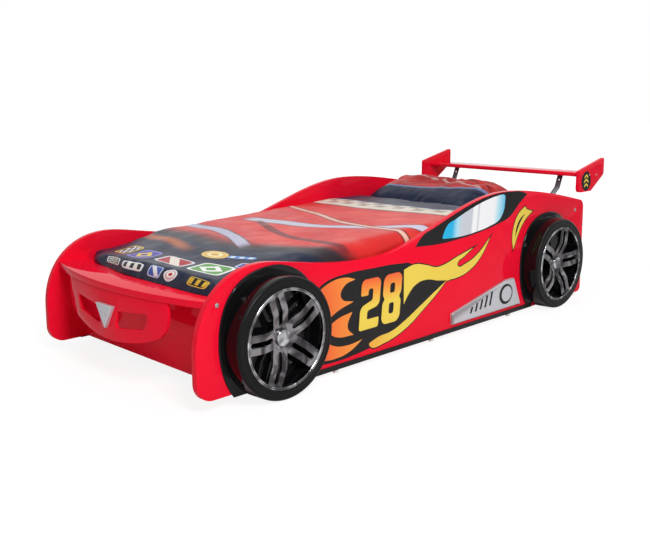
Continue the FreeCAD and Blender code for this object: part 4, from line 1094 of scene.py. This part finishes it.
def duvet_print():
    """Polyester satin, printed: a navy foot with badges, red with pale racing stripes, a chequered
    cream band, and a navy head end.  The weave is drawn as grains about 2 mm across."""
    def build(tree, place):
        navy, red, cream = tone("navy"), tone("bedding_red"), tone("cream")
        spot = add(tree, "UVMap", uv_map="print").outputs[0]
        along, across = add(tree, "SeparateXYZ", spot).outputs[:2]
        cloudy = add(tree, "TexNoise", inputs={"Vector": spot, "Scale": per(200), "Detail": 2.0})
        over = add(tree, "ValToRGB", cloudy,
                   stops=[(0.3, linear("#C92A28")), (0.5, red), (0.75, linear("#E5503F"))])
        shadow = sweep(tree, along, across, 0.42, -0.16, 0.5, 0.03, 9.0)
        over = add(tree, "MixRGB", band(tree, shadow, -3.0, 0.0, 0.12), over, linear("#2A2228"))
        foot = sweep(tree, along, across, 0.345, -0.12, 0.35, 0.025, 8.0)
        over = add(tree, "MixRGB", band(tree, foot, -3.0, 0.0, 0.05), over, navy)
        smear = band(tree, sweep(tree, along, across, 0.262, 0.0, 0.25, 0.03, 8.0), -0.02, 0.02, 0.04)
        smear = add(tree, "Math", smear, band(tree, across, 0.02, 0.42, 0.16), operation="MULTIPLY")
        over = add(tree, "MixRGB", smear, over, linear("#B4623C"))
        for start, slope, bow, wide, low, high, shade in STRIPES:
            line = sweep(tree, along, across, start, slope, bow, 0.012, 11.0)
            reach = band(tree, across, low, high, 0.08)
            for half, soft, paint in ((wide + 0.008, 0.012, "#5A2024"), (wide, 0.01, shade)):
                mask = add(tree, "Math", band(tree, line, -half, half, soft), reach, operation="MULTIPLY")
                over = add(tree, "MixRGB", mask, over, linear(paint))
        creamy = sweep(tree, along, across, 1.24, -0.10, 0.25)
        over = add(tree, "MixRGB", band(tree, creamy, -0.014, 0.2, 0.01), over, linear("#4A3A34"))
        over = add(tree, "MixRGB", band(tree, creamy, 0.0, 0.2, 0.02), over, cream)
        tiles = add(tree, "TexChecker", add(tree, "CombineXYZ", creamy, across), WHITE, BLACK, per(TILE))
        row = add(tree, "Math", tiles.outputs["Fac"], band(tree, creamy, TILE * MM, 3 * TILE * MM, 0.002),
                  operation="MULTIPLY")
        over = add(tree, "MixRGB", row, over, linear("#A8978A"))
        head = sweep(tree, along, across, 1.385, -0.10, 0.3, 0.01, 7.0)
        over = add(tree, "MixRGB", band(tree, head, -0.012, 3.0, 0.014), over, linear("#5F7CA8"))
        over = add(tree, "MixRGB", band(tree, head, 0.0, 3.0, 0.02), over, navy)
        for middle, size, turn, edge, ground, mark, motif in PATCHES:
            shades = [linear(code) for code in (edge, ground, mark)]
            over = patch(tree, spot, over, middle, size, turn, *shades, motif)
        return {"Base Color": over, **satin(tree, place)}
    return finish_of("printed_polyester_satin_duvet", build, IOR=1.5, Specular_IOR_Level=0.16)


def pillow_print():
    """The same satin: navy in front, red behind, and between them a pale line painted as a satin highlight,
    with a dark line behind it.
    """
    def build(tree, place):
        spot = add(tree, "UVMap", uv_map="print").outputs[0]
        along, across = add(tree, "SeparateXYZ", spot).outputs[:2]
        cloudy = add(tree, "TexNoise", inputs={"Vector": spot, "Scale": per(143), "Detail": 2.0})
        over = add(tree, "ValToRGB", cloudy, stops=[(0.3, linear("#8E1D20")), (0.7, linear("#C4332F"))])
        # The pale line is a painted highlight of the satin's shine; the darker line follows just behind it.
        for start, wide, shade in ((0.335, 0.007, "#B98A86"), (0.385, 0.005, "#6E1518")):
            line = sweep(tree, along, across, start, 0.12, -0.3, 0.01, 13.0)
            over = add(tree, "MixRGB", band(tree, line, -wide, wide, 0.006), over, linear(shade))
        front = sweep(tree, along, across, 0.225, -0.10, 0.35)
        over = add(tree, "MixRGB", band(tree, front, -3.0, 0.012, 0.006), over, linear("#6B7FA6"))
        over = add(tree, "MixRGB", band(tree, front, -3.0, 0.0, 0.01), over, tone("navy"))
        return {"Base Color": over, **satin(tree, place)}
    return finish_of("printed_polyester_satin_pillow", build, IOR=1.5, Specular_IOR_Level=0.12)


def satin(tree, place):
    """Fine wrinkles and weave of satin, and its soft shine."""
    creased = add(tree, "TexNoise",
                  inputs={"Vector": place, "Scale": per(38.5), "Detail": 3.0, "Distortion": 0.8})
    weave = add(tree, "TexNoise", inputs={"Vector": place, "Scale": per(2), "Detail": 1.0})
    first = add(tree, "Bump", inputs={"Strength": 0.35, "Distance": 4 * MM, "Height": creased})
    bump = add(tree, "Bump",
               inputs={"Strength": 0.25, "Distance": 0.5 * MM, "Height": weave, "Normal": first})
    return {"Normal": bump, "Roughness": uneven(tree, place, 83.3, 0.30, 0.42)}


def ticking():
    """White knitted polyester, quilted in diamonds 90 mm across, whose sides are 64 mm long, with
    2 mm knit ribs."""
    def build(tree, place):
        turned = add(tree, "Mapping", place, None, (0, 0, math.radians(45)))
        lifts = []
        for part in add(tree, "SeparateXYZ", turned).outputs[:2]:
            turn = add(tree, "Math", part, math.pi / (64 * MM), operation="MULTIPLY")
            arch = add(tree, "Math", add(tree, "Math", turn, operation="SINE"), operation="ABSOLUTE")
            lifts.append(add(tree, "Math", arch, 0.5, operation="POWER"))
        quilt = add(tree, "Math", *lifts, operation="MULTIPLY")
        knit = add(tree, "TexWave", place, 2 * WAVE_PITCH / (1.904 * MM), bands_direction="DIAGONAL")
        first = add(tree, "Bump", inputs={"Strength": 0.7, "Distance": 4 * MM, "Height": quilt})
        bump = add(tree, "Bump",
                   inputs={"Strength": 0.3, "Distance": 0.4 * MM, "Height": knit, "Normal": first})
        return {"Base Color": varied(tree, place, tone("ticking"), 71.4, 0.03), "Normal": bump}
    return finish_of("quilted_knitted_ticking", build, Roughness=0.85, Sheen_Weight=0.3)


MATTRESS_CORNER = 45 * MM
MATTRESS_EDGE = 28 * MM
PIPING_INSET = 30 * MM


class BED_OT_bedding(bpy.types.Operator):
    """Model the mattress, the duvet and the pillow"""
    bl_idname = "bed.bedding"
    bl_label = "Bedding"

    def execute(self, context):
        self.mattress()
        duvet = cloth_block("printed_duvet", 130, 84, duvet_place, (1.6, 0.5))
        filled(duvet, sizes().duvet_swell, pressure=1.2, slack=0.012)
        self.covered(duvet, duvet_print(), "duvet")
        pillow = cloth_block("printed_pillow", 90, 110, pillow_place, (0.62, 0.42))
        filled(pillow, sizes().pillow_swell, pressure=3.0, slack=0.03)
        self.covered(pillow, pillow_print(), "pillow")
        return {"FINISHED"}

    def covered(self, piece, finish, body):
        """Round off a filled piece and give it its printed cover."""
        shaped(piece, "SUBSURF", levels=1, render_levels=1)
        smooth(piece, 70)
        placed(piece, piece.name, finish, body, [body])

    def sunk(self, x, z):
        """How far a point of the mattress lies below its place in a level mattress."""
        share = (z - MATTRESS_LOW.z) / (MATTRESS_HIGH.z - MATTRESS_LOW.z)
        return (MATTRESS_HIGH.z - mattress_height((x - NOSE_X) / MM) * MM) * eased_step(share, 0.1, 1.0)

    def mattress(self):
        """Foam block in its cover, sunk a little at the foot, with piping round both its edges."""
        low, high = MATTRESS_LOW, MATTRESS_HIGH
        bpy.ops.mesh.primitive_cube_add(size=1, location=(low + high) / 2)
        block = bpy.context.object
        block.scale = high - low
        bpy.ops.object.transform_apply(location=True, rotation=True, scale=True)

        def upright(edge):
            """Whether an edge of the block runs up and down."""
            start, end = [block.data.vertices[number].co.z for number in edge.vertices]
            return abs(start - end) > MM

        edit(block, lambda: bpy.ops.mesh.bevel(offset=MATTRESS_CORNER, segments=8, affect="EDGES"),
             choose=upright)
        shaped(block, "BEVEL", width=MATTRESS_EDGE, segments=8, limit_method="ANGLE",
               angle_limit=math.radians(60))
        for x in ((SAG_FOOT + SAG_END) / 2, SAG_END):
            edit(block, lambda: bpy.ops.mesh.bisect(plane_co=(NOSE_X + x * MM, 0, 0), plane_no=(1, 0, 0)))
        for vertex in block.data.vertices:
            vertex.co.z -= self.sunk(vertex.co.x, vertex.co.z)
        edit(block, outward)
        smooth(block, 40)
        placed(block, "mattress_in_cover", ticking(), "mattress", ["mattress"])
        for level in (low.z + PIPING_INSET, low.z + (high.z - low.z - PIPING_INSET)):
            self.piping(low, high, level)

    def piping(self, low, high, z):
        """Round cord sewn round the mattress's side."""
        corner = MATTRESS_CORNER
        run = []
        for x, y, start in ((high.x, high.y, 0), (low.x, high.y, 90), (low.x, low.y, 180),
                            (high.x, low.y, 270)):
            centre = Vector((x - math.copysign(corner, x), y - math.copysign(corner, y)))
            for step in range(7):
                turn = math.radians(start + 15 * step)
                run.append((centre.x + corner * math.cos(turn), centre.y + corner * math.sin(turn)))
        bpy.ops.curve.primitive_nurbs_path_add()
        cord = bpy.context.object
        cord.data.splines.clear()
        spline = cord.data.splines.new("POLY")
        spline.points.add(len(run) - 1)
        for point, (x, y) in zip(spline.points, run):
            point.co = (x, y, z - self.sunk(x, z), 1)
        spline.use_cyclic_u = True
        cord.data.bevel_depth = sizes().piping / 2
        cord.data.bevel_resolution = 3
        only(cord)
        bpy.ops.object.convert(target="MESH")
        cord = bpy.context.object
        edit(cord, weld, outward)
        smooth(cord, 60)
        placed(cord, "mattress_piping_%d" % round(z / MM), ticking(), "mattress")


# ---------------------------------------------------------------- stage

# The photograph's viewpoint: millimetres from the nose's tip, then azimuth, elevation and roll.
CAMERA_PLACE = (-1479.0, -2534.4, 995.0)
CAMERA_TURN = (-44.6, 9.6, -0.3)
CAMERA_LENS = 47.82
CAMERA_RISE = -0.0635

# Name, place in metres, side in metres and watts of each lamp.
LAMPS = (("key", (-2.4, -4.2, 3.8), 1.6, 235), ("top", (0.2, 0.4, 4.4), 2.6, 62))
LAMP_TARGET = (0, 0, 0.3)

# The floor turns white with distance: share of its own light next to the bed and far away.
FLOOR_Z = -0.001
FLOOR_FADE = (1.9, 3.4)
FLOOR_WHITE = (0.8, 1.0)
FLOOR_GLOW = 1.1
WORLD_LIGHT = 0.2


class BED_OT_stage(bpy.types.Operator):
    """Set up the floor, the lamps, the white surroundings and the camera"""
    bl_idname = "bed.stage"
    bl_label = "Stage"

    def execute(self, context):
        self.camera(context)
        self.floor()
        self.surroundings(context)
        for lamp in LAMPS:
            self.lamp(*lamp)
        return {"FINISHED"}

    def camera(self, context):
        """Camera at the photograph's viewpoint."""
        bpy.ops.object.camera_add()
        camera = context.object
        camera.name = "photo_camera"
        azimuth, elevation, roll = [math.radians(turn) for turn in CAMERA_TURN]
        back = Vector((math.sin(azimuth) * math.cos(elevation), -math.cos(azimuth) * math.cos(elevation),
                       math.sin(elevation)))
        level = (-back).cross(Vector((0, 0, 1))).normalized()
        rise = level.cross(-back)
        right = level * math.cos(roll) + rise * math.sin(roll)
        up = rise * math.cos(roll) - level * math.sin(roll)
        turn = Matrix((right, up, back)).transposed().to_4x4()
        place = Vector((NOSE_X, 0, 0)) + Vector(CAMERA_PLACE) * MM
        camera.matrix_world = Matrix.Translation(place) @ turn
        camera.data.lens = CAMERA_LENS
        camera.data.sensor_width = 36
        camera.data.sensor_fit = "HORIZONTAL"
        camera.data.shift_y = CAMERA_RISE
        camera.data.clip_end = 100
        context.scene.camera = camera

    def floor(self):
        """Pale floor that keeps the bed's shadow and shows white to the camera from afar."""
        bpy.ops.mesh.primitive_plane_add(size=40, location=(0, 0, FLOOR_Z))
        floor = bpy.context.object
        floor.name = "studio_floor"
        material = bpy.data.materials.new("pale_studio_floor")
        material.use_nodes = True
        tree = material.node_tree
        shader = tree.nodes["Principled BSDF"]
        shader.inputs["Base Color"].default_value = (0.9, 0.9, 0.9, 1)
        shader.inputs["Roughness"].default_value = 0.6
        white = add(tree, "Emission", WHITE, FLOOR_GLOW)
        ray = add(tree, "LightPath")
        away = add(tree, "VectorMath", add(tree, "TexCoord").outputs["Object"], operation="LENGTH")
        whiter = add(tree, "MapRange", away.outputs["Value"], *FLOOR_FADE, *FLOOR_WHITE)
        share = add(tree, "Math", ray.outputs["Is Camera Ray"], whiter, operation="MULTIPLY")
        mixed = add(tree, "MixShader", share, shader, white)
        tree.links.new(mixed.outputs[0], tree.nodes["Material Output"].inputs["Surface"])
        floor.data.materials.append(material)

    def surroundings(self, context):
        """Dim white light from all round, which camera, glossy and transmission rays see as full white."""
        world = bpy.data.worlds.new("studio")
        context.scene.world = world
        world.use_nodes = True
        tree = world.node_tree
        tree.nodes.clear()
        ray = add(tree, "LightPath")
        seen = ray.outputs["Is Camera Ray"]
        for kind in ("Is Transmission Ray", "Is Glossy Ray"):
            seen = add(tree, "Math", seen, ray.outputs[kind], operation="MAXIMUM")
        lit = add(tree, "Background", WHITE, WORLD_LIGHT)
        white = add(tree, "Background", WHITE, 1.0)
        add(tree, "OutputWorld", add(tree, "MixShader", seen, lit, white))
        context.scene.view_settings.view_transform = "Standard"

    def lamp(self, name, place, size, power):
        """Square soft lamp that looks at the bed."""
        bpy.ops.object.light_add(type="AREA", location=place)
        lamp = bpy.context.object
        lamp.name = name + "_lamp"
        lamp.data.size = size
        lamp.data.energy = power
        lamp.rotation_euler = (Vector(LAMP_TARGET) - Vector(place)).to_track_quat("-Z", "Y").to_euler()


# ---------------------------------------------------------------- add-on

OPERATORS = (BED_OT_boards, BED_OT_side_prints, BED_OT_wheels, BED_OT_trim, BED_OT_slat_base, BED_OT_fixings,
             BED_OT_bedding, BED_OT_stage)


class BED_PT_panel(bpy.types.Panel):
    """Buttons for every piece of the bed, and its sizes and colours"""
    bl_idname = "BED_PT_panel"
    bl_label = "Race Car Bed"
    bl_space_type = "VIEW_3D"
    bl_region_type = "UI"
    bl_category = "Race Car Bed"

    def draw(self, context):
        for operator in OPERATORS:
            self.layout.operator(operator.bl_idname)
        for group in (context.scene.bed_sizes, context.scene.bed_colours):
            box = self.layout.box()
            for name in group.__annotations__:
                box.prop(group, name)


def register():
    for cls in (BedSizes, BedColours) + OPERATORS + (BED_PT_panel,):
        bpy.utils.register_class(cls)
    bpy.types.Scene.bed_sizes = bpy.props.PointerProperty(type=BedSizes)
    bpy.types.Scene.bed_colours = bpy.props.PointerProperty(type=BedColours)


def unregister():
    del bpy.types.Scene.bed_colours
    del bpy.types.Scene.bed_sizes
    for cls in reversed((BedSizes, BedColours) + OPERATORS + (BED_PT_panel,)):
        bpy.utils.unregister_class(cls)


def main():
    """Register the add-on and model every piece."""
    register()
    for operator in OPERATORS:
        group, name = operator.bl_idname.split(".")
        getattr(getattr(bpy.ops, group), name)()
    deselect()


if __name__ == "__main__":
    main()
